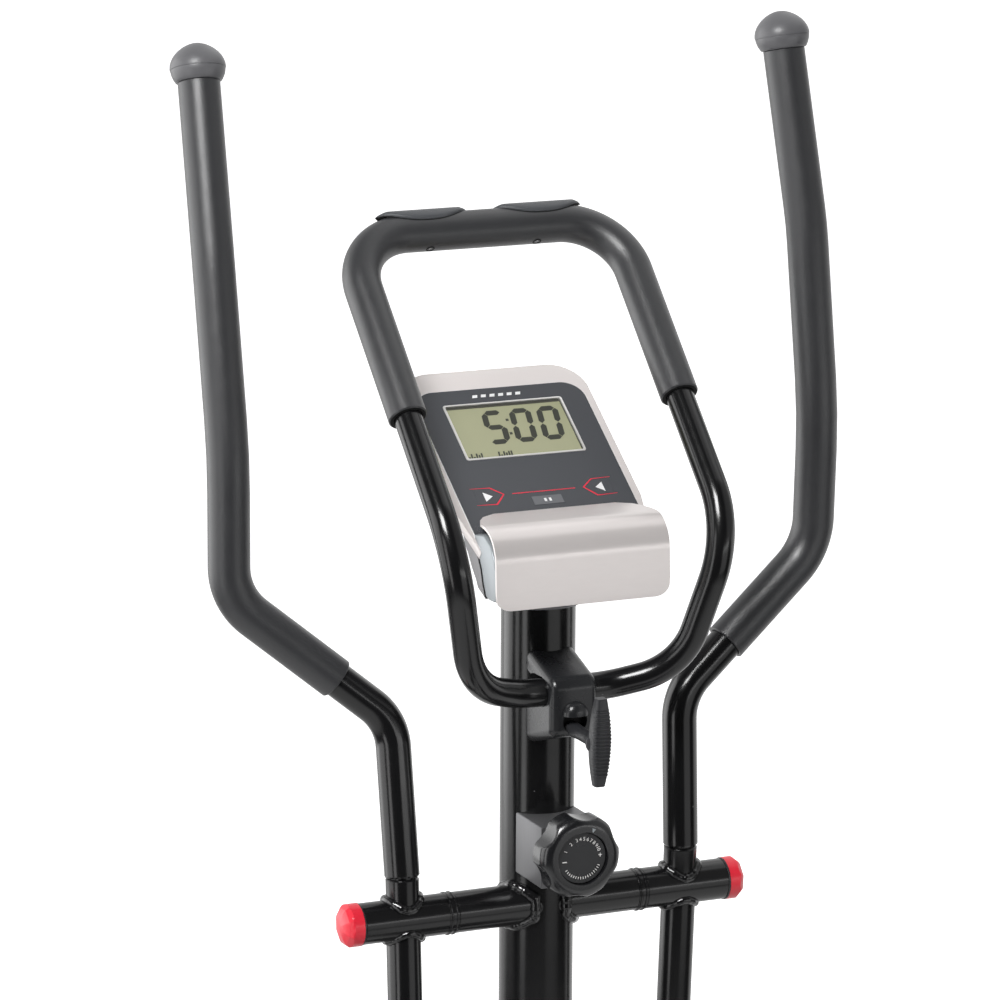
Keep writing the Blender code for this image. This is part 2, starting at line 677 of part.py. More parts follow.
def make_loop_handle(base):
    pivot = empty("handlebar_axis", (0, CLAMP_Y, PIVOT_Z + CLAMP_Z), parent=base)
    origin = Vector((0, CLAMP_Y, CLAMP_Z))
    path = [point - origin for point in loop_path()]
    steel_loop = tube(path, LOOP_RADIUS, LOOP_RADIUS - 2.0, guide=(0, 1, -1))
    finish("handlebar_loop", steel_loop, pivot, black_paint())
    grip = loop_grip([point - origin for point in loop_path()], 430.0 - CLAMP_Z)
    soft_loop = tube(grip, LOOP_GRIP_RADIUS, LOOP_RADIUS + GAP, guide=(0, 1, -1))
    finish("handlebar_grip", soft_loop, pivot, foam())
    for word, low, high in (("left", -102.0, -12.0), ("right", 10.0, 98.0)):
        pad = pulse_pad(low, high, 124 - CLAMP_Y, 562 - CLAMP_Z)
        finish("pulse_pad_" + word, pad, pivot, pad_plastic())


def loop_grip(path, low_z):
    high = [index for index, point in enumerate(path) if point.z > low_z]
    first, last = high[0], high[-1]
    grip = list(path[first:last + 1])
    for end, outside in ((0, path[first - 1]), (-1, path[last + 1])):
        inside = grip[end]
        share = (low_z - outside.z) / (inside.z - outside.z)
        point = outside.lerp(inside, share)
        if end == 0:
            grip.insert(0, point)
        else:
            grip.append(point)
    return grip


def pulse_pad(low, high, ahead, up):
    """A lens-shaped pad that hugs the far upper side of the foam bar."""
    mesh = bmesh.new()
    rows = 10
    columns = 6
    lean = math.radians(62.0)
    surfaces = []
    for radius, bulge in ((LOOP_GRIP_RADIUS + 0.6, 0.0), (LOOP_GRIP_RADIUS + 1.4, 2.4)):
        grid = []
        for row in range(rows + 1):
            share = row / rows
            along = low + (high - low) * share
            swell = math.sqrt(max(4.0 * share * (1.0 - share), 0.0))
            wide = math.radians(58.0) * max(swell, 0.25)
            line = []
            for column in range(columns + 1):
                turn = 2.0 * column / columns - 1.0
                angle = lean + wide * turn
                out = radius + bulge * (1.0 - turn * turn) * swell
                place = (along, ahead + out * math.cos(angle), up + out * math.sin(angle))
                line.append(mesh.verts.new(place))
            grid.append(line)
        surfaces.append(grid)
    inner, outer = surfaces
    for row in range(rows):
        for column in range(columns):
            for grid in surfaces:
                mesh.faces.new((grid[row][column], grid[row][column + 1], grid[row + 1][column + 1],
                                grid[row + 1][column]))
        for column in (0, columns):
            mesh.faces.new((inner[row][column], inner[row + 1][column], outer[row + 1][column],
                            outer[row][column]))
    for row in (0, rows):
        for column in range(columns):
            mesh.faces.new((inner[row][column], inner[row][column + 1], outer[row][column + 1],
                            outer[row][column]))
    return mesh


def make_clamp(base):
    height = PIVOT_Z + CLAMP_Z
    outline = hull([(-66, height + 6.5, 10), (-22, height + 24, 5), (-22, height - 45.5, 5),
                    (-73, height - 34.5, 3)], 24)
    block = finish("clamp_block", plate(outline, "X", -21.5, 21.5, 2.0), base, black_plastic())
    cut(block, rod((0, 0, height - 80), (0, 0, height + 80), POST_RADIUS + GAP, POST_SIDES))
    cut(block, rod((-40, CLAMP_Y, height), (40, CLAMP_Y, height), LOOP_RADIUS + GAP, 16))
    bolt_z = PIVOT_Z + KNOB_BOLT_Z
    cut(block, rod((0, -90, bolt_z), (0, -44, bolt_z), 4.3, 12))
    turn = empty("clamp_knob_axis", (0, -76, bolt_z), parent=base)
    profile = [(GAP, 0), (GAP, 12.5), (9, 10.5), (16, 9.0), (40, 9.0), (46, 7.0), (48, 0)]
    knob = finish("clamp_knob", turned(profile, (0, 0, 0), (0, -1, 0), 16), turn, black_plastic())
    wing = hull([(-49, 0, 14.5), (-49, 33, 4.5), (-49, -33, 4.5), (-49, 17, 12), (-49, -17, 12)], 24)
    weld(knob, plate(wing, "X", -7.5, 7.5, 2.5))
    weld(knob, rod((0, -20, 0), (0, 30, 0), 4.0, 12))


# Tension control

def make_tension(base):
    height = PIVOT_Z + TENSION_Z
    outline = rounded(-27, 27, height - 33.5, height + 20, 3.0, 2)
    housing = finish("tension_housing", plate(outline, "Y", -69, -16, 1.5), base, grey_plastic())
    cut(housing, rod((0, 0, height - 60), (0, 0, height + 60), POST_RADIUS + GAP, POST_SIDES))
    cut(housing, box((-9, -46, height - 12), (9, 0, height + 12)))
    knob_z = PIVOT_Z + 60.0
    axis = empty("tension_knob_axis", (0, -69, knob_z), parent=base)
    finish("tension_knob", scalloped_knob(), axis, black_plastic(), 35.0)
    disc = rod((0, -92, knob_z), (0, -88.5, knob_z), KNOB_RECESS - GAP, 32)
    dial = finish("tension_dial", disc, base, black_plastic())
    weld(dial, rod((0, -90, knob_z), (0, -69 - GAP, knob_z), 8.0, 20))


def scallop(angle):
    """Distance from the knob's axis to its side, with six wide finger hollows."""
    sixth = math.pi / 3.0
    turn = (angle - math.radians(24.0) + sixth / 2.0) % sixth - sixth / 2.0
    reach = SCALLOP_CENTRE * math.sin(turn)
    depth = math.sqrt(max(SCALLOP_RADIUS ** 2 - reach ** 2, 0.0))
    return min(KNOB_RADIUS, SCALLOP_CENTRE * math.cos(turn) - depth)


def scalloped_knob():
    """A knob with finger hollows, a domed rim, a recessed middle and a bore, front towards -Y."""
    mesh = bmesh.new()
    count = 48
    rings = []
    profile = [(-2.5, 8.3), (-2.5, 35.0), (-4.5, KNOB_RADIUS), (-16.0, KNOB_RADIUS), (-21.5, 34.6),
               (-25.0, 31.0), (-26.0, 27.5), (-26.0, KNOB_RECESS), (-19.0, KNOB_RECESS), (-19.0, 8.3)]
    for depth, limit in profile:
        ring = []
        for step in range(count):
            angle = 2.0 * math.pi * step / count
            radius = min(limit, scallop(angle))
            ring.append(mesh.verts.new((radius * math.cos(angle), depth, radius * math.sin(angle))))
        rings.append(ring)
    for first, second in zip(rings, rings[1:] + rings[:1]):
        skin(mesh, first, second)
    return mesh


# Console

def make_console(base):
    tilt = empty("console_axis", (0, CONSOLE_Y, PIVOT_Z + CONSOLE_Z), (CONSOLE_TILT, 0, 0), base)
    front = finish("console_front", plate(console_outline(), "Z", -24, -1.3, 2.0), tilt, silver_plastic())
    post_hole = rod((0, 0, -200), (0, 0, 302), POST_RADIUS + GAP, POST_SIDES)
    cut(front, box((-54.8, -64.0, -4.6), (54.8, 0.3, 5)))
    for low, high in button_boxes():
        cut(front, box((low[0] - 0.6, low[1] - 0.6, -6.0), (high[0] + 0.6, high[1] + 0.6, 5)))
    window = box((-54.2, -63.4, -4.2), (54.2, -0.3, -0.6))
    finish("display_window", window, tilt, display_glass())
    make_panel(tilt)
    make_buttons(tilt)
    make_rear_shell(tilt, post_hole)
    make_lip(base)
    cover = box((-34, 0, -62.5), (34, 34, -60.3), 0.8)
    finish("battery_cover", cover, tilt, black_plastic())


def console_outline():
    outline = []
    for across, start in ((83.0, 0), (-83.0, 90)):
        for step in range(7):
            angle = math.radians(start + 15.0 * step)
            centre = across - 30.0 if across > 0 else across + 30.0
            outline.append((centre + 30.0 * math.cos(angle), 11.5 + 30.0 * math.sin(angle)))
    return outline + [(-83.0, -172.0), (83.0, -172.0)]


def make_panel(tilt):
    outline = []
    for across, start in ((78.0, 0), (-78.0, 90)):
        for step in range(5):
            angle = math.radians(start + 22.5 * step)
            centre = across - 19.0 if across > 0 else across + 19.0
            outline.append((centre + 19.0 * math.cos(angle), -1.5 + 19.0 * math.sin(angle)))
    outline += [(-78.0, -146.0), (-70.0, -153.0), (70.0, -153.0), (78.0, -146.0)]
    panel = finish("button_panel", plate(outline, "Z", -1.0, 0.0), tilt, panel_film())
    cut(panel, box((-54.5, -63.7, -4), (54.5, 0.0, 4)))
    for low, high in button_boxes():
        cut(panel, box((low[0] - 0.4, low[1] - 0.4, -4), (high[0] + 0.4, high[1] + 0.4, 4)))


def button_boxes():
    left = ((-66.0, -115.5), (-38.0, -97.5))
    right = ((38.0, -115.5), (66.0, -97.5))
    middle = ((-13.5, -120.5), (13.5, -111.0))
    return left, right, middle


def make_buttons(tilt):
    for word, (low, high) in zip(("left", "right", "mode"), button_boxes()):
        key = box((low[0], low[1], -3.2), (high[0], high[1], 0.5), 0.4)
        finish("button_" + word, key, tilt, panel_film())


def make_rear_shell(tilt, post_hole):
    outline = rounded(-76, 76, -166, 36, 24.0, 3)
    block = plate(outline, "Z", -60.0, -24.0 - GAP, 6.0)
    for vert in block.verts:
        back = min(max((-26.0 - vert.co.z) / 34.0, 0.0), 1.0)
        vert.co.x *= 1.0 - 0.2 * back
    shell = finish("console_rear", block, tilt, silver_plastic())
    turn = Matrix.Rotation(math.radians(-CONSOLE_TILT), 4, "X")
    shift = Vector((0, -CONSOLE_Y, -CONSOLE_Z))
    socket = rod((0, 0, 262), (0, 0, 306), 39.0, 24)
    for mesh in (socket, post_hole):
        bmesh.ops.translate(mesh, vec=shift, verts=mesh.verts)
        bmesh.ops.transform(mesh, matrix=turn, verts=mesh.verts)
    weld(shell, socket)
    cut(shell, post_hole)


def lip_profile():
    """Side line of the book rest, back edge first: a level shelf that rolls over into the front."""
    line = [(-31.0, 347.5), (-46.0, 346.5)]
    for step in range(8):
        angle = math.radians(90.0 + 90.0 * step / 7.0)
        line.append((-62.0 + 28.0 * math.cos(angle), 317.5 + 28.0 * math.sin(angle)))
    return line + [(-91.0, 298.0), (-91.5, 279.0)]


def make_lip(base):
    line = lip_profile()
    widths = []
    for ahead, up in line:
        back = min(max((ahead + 62.0) / 34.0, 0.0), 1.0)
        low = min(max((293.0 - up) / 15.0, 0.0), 1.0)
        widths.append(81.0 - 23.0 * back ** 2 - 14.0 * low ** 2)
    mesh = bmesh.new()
    columns = 2
    surfaces = []
    for drop in (0.0, 2.5):
        grid = []
        for index, (ahead, up) in enumerate(line):
            before = line[max(index - 1, 0)]
            after = line[min(index + 1, len(line) - 1)]
            run = Vector((after[0] - before[0], after[1] - before[1])).normalized()
            place_y, place_z = ahead - run.y * drop, up + run.x * drop
            row = []
            for column in range(columns + 1):
                across = widths[index] * (2.0 * column / columns - 1.0)
                row.append(mesh.verts.new((across, place_y, PIVOT_Z + place_z)))
            grid.append(row)
        surfaces.append(grid)
    close_grids(mesh, surfaces[0], surfaces[1])
    finish("console_lip", mesh, base, silver_plastic(), 40.0)


def close_grids(mesh, first, second):
    rows = len(first) - 1
    columns = len(first[0]) - 1
    for row in range(rows):
        for column in range(columns):
            for grid in (first, second):
                mesh.faces.new((grid[row][column], grid[row][column + 1], grid[row + 1][column + 1],
                                grid[row + 1][column]))
        for column in (0, columns):
            mesh.faces.new((first[row][column], first[row + 1][column], second[row + 1][column],
                            second[row][column]))
    for row in (0, rows):
        for column in range(columns):
            mesh.faces.new((first[row][column], first[row][column + 1], second[row][column + 1],
                            second[row][column]))


def build():
    clear_scene()
    base = empty("machine", (0, POST_Y, 0))
    make_main_frame(base)
    make_stabiliser(base, "front_stabiliser", FRONT_STABILISER_Y, FRONT_STABILISER_HALF)
    make_stabiliser(base, "rear_stabiliser", REAR_STABILISER_Y, REAR_STABILISER_HALF)
    for word, side in (("left", -1.0), ("right", 1.0)):
        make_foot(base, "front_end_cap_" + word, side, FRONT_STABILISER_Y, FRONT_STABILISER_HALF, True)
        make_foot(base, "rear_foot_cap_" + word, side, REAR_STABILISER_Y, REAR_STABILISER_HALF, False)
        make_transport_wheel(base, "transport_wheel_" + word, side)
        make_casing(base, "casing_" + word, side)
        pivot = make_swing(base, side)
        make_pedal(pivot, side)
    make_post(base)
    make_drive(base)
    make_magnet_bracket(base)
    make_cable(base)
    make_loop_handle(base)
    make_clamp(base)
    make_tension(base)
    make_console(base)


build()
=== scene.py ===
"""Elliptical trainer: detailed pieces, materials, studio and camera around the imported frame."""
from math import copysign, cos, degrees, hypot, pi, radians, sin, sqrt, tan

import bmesh
import bpy
from mathutils import Matrix, Vector, noise


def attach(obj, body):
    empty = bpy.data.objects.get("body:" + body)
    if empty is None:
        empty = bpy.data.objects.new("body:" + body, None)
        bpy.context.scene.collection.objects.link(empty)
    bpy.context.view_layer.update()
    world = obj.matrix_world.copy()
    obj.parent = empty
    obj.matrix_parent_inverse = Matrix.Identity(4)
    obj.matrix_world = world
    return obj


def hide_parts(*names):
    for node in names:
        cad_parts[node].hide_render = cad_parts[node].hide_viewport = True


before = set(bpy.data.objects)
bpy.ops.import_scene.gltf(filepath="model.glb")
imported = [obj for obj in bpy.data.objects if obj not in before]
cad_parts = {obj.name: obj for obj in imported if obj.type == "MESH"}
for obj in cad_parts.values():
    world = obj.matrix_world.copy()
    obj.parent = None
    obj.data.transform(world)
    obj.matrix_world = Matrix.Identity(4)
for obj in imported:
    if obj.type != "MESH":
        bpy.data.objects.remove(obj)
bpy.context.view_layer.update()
noise.seed_set(5)

MM = 0.001
POST_Y = 397.5
PIVOT_Y = -13.3
PIVOT_Z = 838.0
SWING_REST = 3.6
ARM_X = 129.0
ARM_LOWER = 600.0
JOINT_Z = 36.0
POST_RADIUS = 31.75
CRANK_Y = -660.0
CRANK_Z = 300.0
FLYWHEEL_Y = -840.0
FLYWHEEL_Z = 245.0
BAR_LENGTH = 662.0
BAR_TILT = {-1: 16.5, 1: -5.8}
CLAMP_Y = -56.0
CLAMP_Z = 197.0
BOLT_Z = 167.0
LOOP_GRIP = 16.4
LOOP_TOP = (122.4, 559.5)
TRAY_BOLTS = (-180, -430)
DIAL_Z = 60
DIAL_FACE_Y = -92.05
BEAD_PITCH = 5.0
SPECK_LEVEL = 0.965
SIDES = ((-1, "left"), (1, "right"))
HEXAGON = [(10 * cos(pi * k / 3), 10 * sin(pi * k / 3)) for k in range(6)]


def move(x, y, z):
    return Matrix.Translation((x, y, z))


def lean(angle):
    return Matrix.Rotation(radians(angle), 4, "X")


POST = Matrix.Scale(MM, 4) @ move(0, POST_Y, 0)
UPPER = POST @ move(0, 0, PIVOT_Z)
SWING = {side: POST @ move(0, PIVOT_Y, PIVOT_Z) @ lean(side * SWING_REST) for side in (-1, 1)}
PEDAL = {side: SWING[side] @ move(0, 0, -ARM_LOWER) @ lean(-side * SWING_REST - BAR_TILT[side])
    for side in (-1, 1)}
PANEL = UPPER @ move(0, 78, 417) @ lean(34.2)


# Materials

CELLS = "cells"


def new_material(name):
    made = bpy.data.materials.new(name)
    made.use_nodes = True
    return made, made.node_tree, made.node_tree.nodes["Principled BSDF"]


def add(tree, kind, **values):
    node = tree.nodes.new(kind)
    for key, value in values.items():
        if key in node.inputs:
            node.inputs[key].default_value = value
        else:
            setattr(node, key, value)
    return node


def ramp(tree, source, low, high, first, second, kind="SMOOTHSTEP"):
    """Map one range of values on to another."""
    node = add(tree, "ShaderNodeMapRange", interpolation_type=kind)
    tree.links.new(source, node.inputs["Value"])
    for key, value in (("From Min", low), ("From Max", high), ("To Min", first), ("To Max", second)):
        node.inputs[key].default_value = value
    return node.outputs["Result"]


def combine(tree, operation, first, second):
    node = add(tree, "ShaderNodeMath", operation=operation)
    for value, socket in zip((first, second), node.inputs):
        if isinstance(value, float):
            socket.default_value = value
        else:
            tree.links.new(value, socket)
    return node.outputs[0]


def finish_of(name, slot, colour, rough, bumps=(), metallic=0.0, vary=0.12, blotch=14.0, rough_vary=0.05,
    rough_scale=60.0, stretch=(1, 1, 1), specks=0.0, wear=0.0, **sockets):
    """A procedural surface: colour drift, uneven roughness, layered bump, optional specks and worn edges."""
    made, tree, shader = new_material(name)
    link = tree.links.new
    place = add(tree, "ShaderNodeTexCoord").outputs["Object"]
    if stretch != (1, 1, 1):
        squeeze = add(tree, "ShaderNodeMapping", Scale=stretch)
        link(place, squeeze.inputs["Vector"])
        place = squeeze.outputs["Vector"]

    def pattern(kind, output, **values):
        node = add(tree, "ShaderNodeTex" + kind, **values)
        link(place, node.inputs["Vector"])
        return node.outputs[output]

    def paler(gain, lift=0.0):
        return tuple(min(c * gain + lift, 1.0) for c in colour)

    def blend(factor, first, second):
        mix = add(tree, "ShaderNodeMix", data_type="RGBA")
        link(factor, mix.inputs["Factor"])
        for value, socket in ((first, mix.inputs[6]), (second, mix.inputs[7])):
            if isinstance(value, tuple):
                socket.default_value = (*value, 1.0)
            else:
                link(value, socket)
        return mix.outputs[2]

    tint = blend(pattern("Noise", "Fac", Scale=blotch, Detail=4.0), paler(1.0 - vary), paler(1.0 + vary))
    if specks:
        close = ramp(tree, pattern("Voronoi", "Distance", Scale=specks), 0.0, 1.0, 1.0, 0.0, "LINEAR")
        tint = blend(combine(tree, "GREATER_THAN", close, SPECK_LEVEL), tint, paler(4.0, 0.05))
    if wear:
        edge = add(tree, "ShaderNodeNewGeometry").outputs["Pointiness"]
        tint = blend(ramp(tree, edge, 0.53, 0.62, 0.0, wear, "LINEAR"), tint, paler(2.5, 0.06))
    link(tint, shader.inputs["Base Color"])
    uneven = pattern("Noise", "Fac", Scale=rough_scale, Detail=6.0)
    link(ramp(tree, uneven, 0.0, 1.0, rough - rough_vary, rough + rough_vary, "LINEAR"),
        shader.inputs["Roughness"])
    last = None
    for *cells, scale, strength, distance in bumps:
        height = (pattern("Voronoi", "Distance", Scale=scale) if cells else
                  pattern("Noise", "Fac", Scale=scale, Detail=5.0))
        bump = add(tree, "ShaderNodeBump", Strength=strength, Distance=distance)
        link(height, bump.inputs["Height"])
        if last:
            link(last, bump.inputs["Normal"])
        last = bump.outputs["Normal"]
    if last:
        link(last, shader.inputs["Normal"])
    for key, value in {"Metallic": metallic, **sockets}.items():
        shader.inputs[key.replace("_", " ")].default_value = value
    return made


ENAMEL = finish_of("gloss_enamel", "black_paint", (0.006, 0.006, 0.0065), 0.2, [(420, 0.05, 0.0004)], vary=0.3,
                   rough_vary=0.04, specks=38.0, Coat_Weight=0.1, Coat_Roughness=0.1)
WELD = finish_of("enamel_over_weld", "black_paint", (0.007, 0.007, 0.0075), 0.17, [(300, 0.25, 0.0008)],
    vary=0.4, Coat_Weight=0.4, Coat_Roughness=0.08)
FRAME_PAINT = finish_of("frame_enamel", "black_paint", (0.008, 0.008, 0.009), 0.2, [(420, 0.06, 0.0004)],
    vary=0.3, wear=0.25, Coat_Weight=0.5, Coat_Roughness=0.08)
STEEL = finish_of("zinc_steel", "steel", (0.55, 0.55, 0.56), 0.34, [(500, 0.08, 0.0003)], metallic=1.0,
                  rough_vary=0.1, wear=0.3)
IRON = finish_of("cast_iron", "steel", (0.16, 0.16, 0.17), 0.5, [(600, 0.4, 0.0006), (CELLS, 300, 0.2, 0.0005)],
                 metallic=0.9, rough_vary=0.12)
BLACK = finish_of("black_moulding", "black_plastic", (0.022, 0.0225, 0.025), 0.42, [(CELLS, 1500, 0.12, 0.0003),
                  (300, 0.06, 0.0004)], rough_vary=0.06, wear=0.35)
SATIN = finish_of("satin_black_moulding", "black_plastic", (0.015, 0.0155, 0.017), 0.27, [(1200, 0.05, 0.0002)],
                  rough_vary=0.05, wear=0.3)
KNOB = finish_of("knob_moulding", "black_plastic", (0.009, 0.0092, 0.0105), 0.23, [(1200, 0.05, 0.0002)],
                 rough_vary=0.04, wear=0.3, Specular_IOR_Level=0.8)
CASING = finish_of("casing_moulding", "casing_plastic", (0.02, 0.02, 0.022), 0.38, [(CELLS, 1100, 0.16, 0.0004),
                   (40, 0.05, 0.001)], rough_vary=0.07, wear=0.3)
FOAM = finish_of("foam_rubber", "foam", (0.024, 0.0245, 0.027), 0.38, [(2200, 0.25, 0.0004),
                 (260, 0.12, 0.0006)], vary=0.1, blotch=30, rough_vary=0.06, Specular_IOR_Level=0.8)
PAD = finish_of("pulse_pad", "pad_plastic", (0.06, 0.064, 0.07), 0.42, [(CELLS, 1700, 0.3, 0.0004)],
    rough_vary=0.08)
RED = finish_of("red_moulding", "red_plastic", (0.75, 0.018, 0.04), 0.34, [(500, 0.06, 0.0003)], vary=0.06,
                Coat_Weight=0.2, Coat_Roughness=0.2)
SILVER = finish_of("champagne_silver", "silver_plastic", (0.70, 0.655, 0.64), 0.38, [(1600, 0.05, 0.0002)],
                   metallic=0.15, vary=0.03, rough_vary=0.04, rough_scale=400)
BRUSHED = finish_of("brushed_lip", "silver_plastic", (0.76, 0.715, 0.70), 0.3, [(1500, 0.03, 0.0002)],
    metallic=0.5, vary=0.025, blotch=300, rough_vary=0.03, rough_scale=500, stretch=(0.2, 1, 1))
# A cool grey: the knob pointer's own colour, and painted shade on the console nose, where the console face's
# silver runs on under the book rest.
POINTER_GREY_AND_NOSE_SHADE = finish_of("cool_grey_and_nose_shade", "silver_plastic", (0.34, 0.37, 0.39), 0.35, [(1200, 0.05, 0.0002)],
    metallic=0.3, vary=0.04)
GREY = finish_of("brushed_grey", "grey_plastic", (0.13, 0.13, 0.135), 0.34, [(700, 0.08, 0.0002)], metallic=0.5,
                 vary=0.06, blotch=240, rough_vary=0.08, rough_scale=500, stretch=(1, 1, 0.05))
FILM = finish_of("slate_film", "panel_film", (0.054, 0.057, 0.065), 0.4, [(1500, 0.04, 0.0002)], vary=0.05,
                 rough_vary=0.04)
LCD = finish_of("display_olive", "display_glass", (0.335, 0.34, 0.205), 0.25, [(300, 0.02, 0.0002)], vary=0.04,
    blotch=9, rough_vary=0.03, Coat_Weight=0.4, Coat_Roughness=0.12)
INK = finish_of("display_ink", "display_glass", (0.032, 0.034, 0.024), 0.45, vary=0.15, blotch=600)
SHADE = finish_of("display_shade", "display_glass", (0.05, 0.05, 0.04), 0.5, vary=0.15, blotch=200)
TRIM = finish_of("display_trim", "silver_plastic", (0.72, 0.71, 0.69), 0.3, [(900, 0.05, 0.0002)], metallic=0.5,
    vary=0.04)
KEY = finish_of("key_film", "panel_film", (0.13, 0.135, 0.145), 0.42, [(1500, 0.05, 0.0002)], vary=0.05)
WHITE = finish_of("white_print", "panel_film", (0.80, 0.80, 0.80), 0.5, vary=0.04)
PALE = finish_of("grey_print", "grey_plastic", (0.80, 0.79, 0.77), 0.5, vary=0.05)
CAP = finish_of("grip_cap_moulding", "black_plastic", (0.112, 0.112, 0.118), 0.38, [(900, 0.05, 0.0002)],
    vary=0.06, rough_vary=0.05)
LILAC = finish_of("shell_grey", "silver_plastic", (0.22, 0.215, 0.225), 0.42, [(1300, 0.05, 0.0002)], vary=0.05)
RED_PRINT = finish_of("red_print", "panel_film", (0.72, 0.02, 0.05), 0.45, vary=0.06)
RUBBER = finish_of("tyre_rubber", "rubber_black", (0.018, 0.018, 0.019), 0.7, [(900, 0.3, 0.0005)],
    rough_vary=0.08)
# Painted shade: a near-black matte finish for dark pieces laid in seams, wells, vents and openings that are
# dark only from the shade in them.
PAINTED_SHADE = finish_of("shadow_black", "black_plastic", (0.004, 0.004, 0.004), 0.8, vary=0.2)


# Mesh tools, all in millimetres

def data_of(mesh, name, place=None):
    """Turn a bmesh into mesh data and free it."""
    bmesh.ops.recalc_face_normals(mesh, faces=mesh.faces)
    if place is not None:
        placed(mesh, place)
    data = bpy.data.meshes.new(name)
    mesh.to_mesh(data)
    mesh.free()
    return data


def show(name, data):
    made = bpy.data.objects.new(name, data)
    bpy.context.scene.collection.objects.link(made)
    return made


def evaluated_mesh(item):
    """The mesh of an object after its modifiers, as a bmesh."""
    bpy.context.view_layer.update()
    result = bmesh.new()
    result.from_mesh(item.evaluated_get(bpy.context.evaluated_depsgraph_get()).to_mesh())
    return result


def piece(name, mesh, place, surface, stands=None, body="base", smooth=32.0):
    """One named object on a CAD body."""
    data = data_of(mesh, name, place)
    data.materials.append(surface)
    data.shade_smooth()
    data.set_sharp_from_angle(angle=radians(smooth))
    made = show(name, data)
    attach(made, body)
    if stands:
        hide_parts(stands)
    return made


def joined(*meshes):
    """Several bmeshes as one."""
    whole = bmesh.new()
    for mesh in meshes:
        data = data_of(mesh, "part")
        whole.from_mesh(data)
        bpy.data.meshes.remove(data)
    return whole


def placed(mesh, matrix):
    bmesh.ops.transform(mesh, matrix=matrix, verts=mesh.verts)
    return mesh


def carved(target, *cutters):
    """target less the cutters, as a new bmesh."""
    objects = [show("carve", data_of(mesh, "carve")) for mesh in (target, *cutters)]
    for cutter in objects[1:]:
        step = objects[0].modifiers.new("cut", "BOOLEAN")
        step.operation = "DIFFERENCE"
        step.solver = "EXACT"
        step.object = cutter
    result = evaluated_mesh(objects[0])
    for item in objects:
        data = item.data
        bpy.data.objects.remove(item)
        bpy.data.meshes.remove(data)
    return result


def turns(count):
    """Equal angles round a full circle."""
    return [2.0 * pi * step / count for step in range(count)]


def span(*values):
    return min(values), max(values)


def skin(mesh, first, second):
    """Faces between two rings, either of which may be one repeated point."""
    for step in range(len(first)):
        after = (step + 1) % len(first)
        corners = dict.fromkeys((first[step], first[after], second[after], second[step]))
        if len(corners) > 2:
            mesh.faces.new(tuple(corners))


def loft(mesh, rings, closed=False, capped=False):
    """Skin rings in turn, joined end to end or capped if asked."""
    for first, second in zip(rings, rings[1:] + (rings[:1] if closed else [])):
        skin(mesh, first, second)
    if capped:
        mesh.faces.new(rings[0])
        mesh.faces.new(rings[-1])
    return mesh


def turned(profile, centre=(0, 0, 0), axis=(0, 0, 1), segments=64):
    """A profile of (distance along the axis, radius), turned about the axis."""
    axis = Vector(axis).normalized()
    side = axis.orthogonal().normalized()
    other = axis.cross(side)
    spokes = [side * cos(angle) + other * sin(angle) for angle in turns(segments)]
    mesh = bmesh.new()
    rings = []
    for along, radius in profile:
        middle = Vector(centre) + axis * along
        rings.append([mesh.verts.new(middle)] * segments if radius < 0.001 else
                     [mesh.verts.new(middle + spoke * radius) for spoke in spokes])
    return loft(mesh, rings, closed=True)


def rod(start, end, radius, segments=48, edge=0.6):
    """A round bar with eased ends."""
    start, end = Vector(start), Vector(end)
    half = [(0, 0), (0, radius - edge), (edge * 0.3, radius - edge * 0.3), (edge, radius)]
    length = (end - start).length
    return turned(half + [(length - along, size) for along, size in reversed(half)], start, end - start,
        segments)


def box(low, high, edge=0.0, steps=3):
    mesh = bmesh.new()
    bmesh.ops.create_cube(mesh, size=1.0)
    low = Vector(low)
    high = Vector(high)
    bmesh.ops.scale(mesh, vec=high - low, verts=mesh.verts)
    bmesh.ops.translate(mesh, vec=(low + high) / 2.0, verts=mesh.verts)
    if edge:
        bmesh.ops.bevel(mesh, geom=mesh.edges[:], offset=edge, segments=steps, profile=0.5, affect="EDGES")
    return mesh


def plate(outline, axis, low, high, edge=0.0, steps=3):
    """An outline in the plane across an axis, pulled out along it, with eased rims."""
    mesh = bmesh.new()
    index = "XYZ".index(axis)
    verts = []
    for first, second in outline:
        place = [first, second]
        place.insert(index, low)
        verts.append(mesh.verts.new(place))
    face = mesh.faces.new(verts)
    grown = bmesh.ops.extrude_face_region(mesh, geom=[face])
    moved = [item for item in grown["geom"] if isinstance(item, bmesh.types.BMVert)]
    shift = [0.0, 0.0, 0.0]
    shift[index] = high - low
    bmesh.ops.translate(mesh, vec=shift, verts=moved)
    if edge:
        rim = [item for item in mesh.edges if abs(item.verts[0].co[index] - item.verts[1].co[index]) < 0.001]
        bmesh.ops.bevel(mesh, geom=rim, offset=edge, segments=steps, profile=0.5, affect="EDGES")
    return mesh


def rounded(low_a, high_a, low_b, high_b, radius, steps=8):
    """A rectangle with round corners."""
    outline = []
    for a, b, start in ((high_a, high_b, 0), (low_a, high_b, 90), (low_a, low_b, 180), (high_a, low_b, 270)):
        centre_a = a - radius if a == high_a else a + radius
        centre_b = b - radius if b == high_b else b + radius
        for step in range(steps + 1):
            angle = radians(start + 90.0 * step / steps)
            outline.append((centre_a + radius * cos(angle), centre_b + radius * sin(angle)))
    return outline


def hull(circles, steps=120):
    """The belt line around circles of (first, second, radius)."""
    points = []
    for angle in turns(steps):
        way = (cos(angle), sin(angle))
        best = max(circles, key=lambda c: c[0] * way[0] + c[1] * way[1] + c[2])
        points.append((best[0] + best[2] * way[0], best[1] + best[2] * way[1]))
    return points


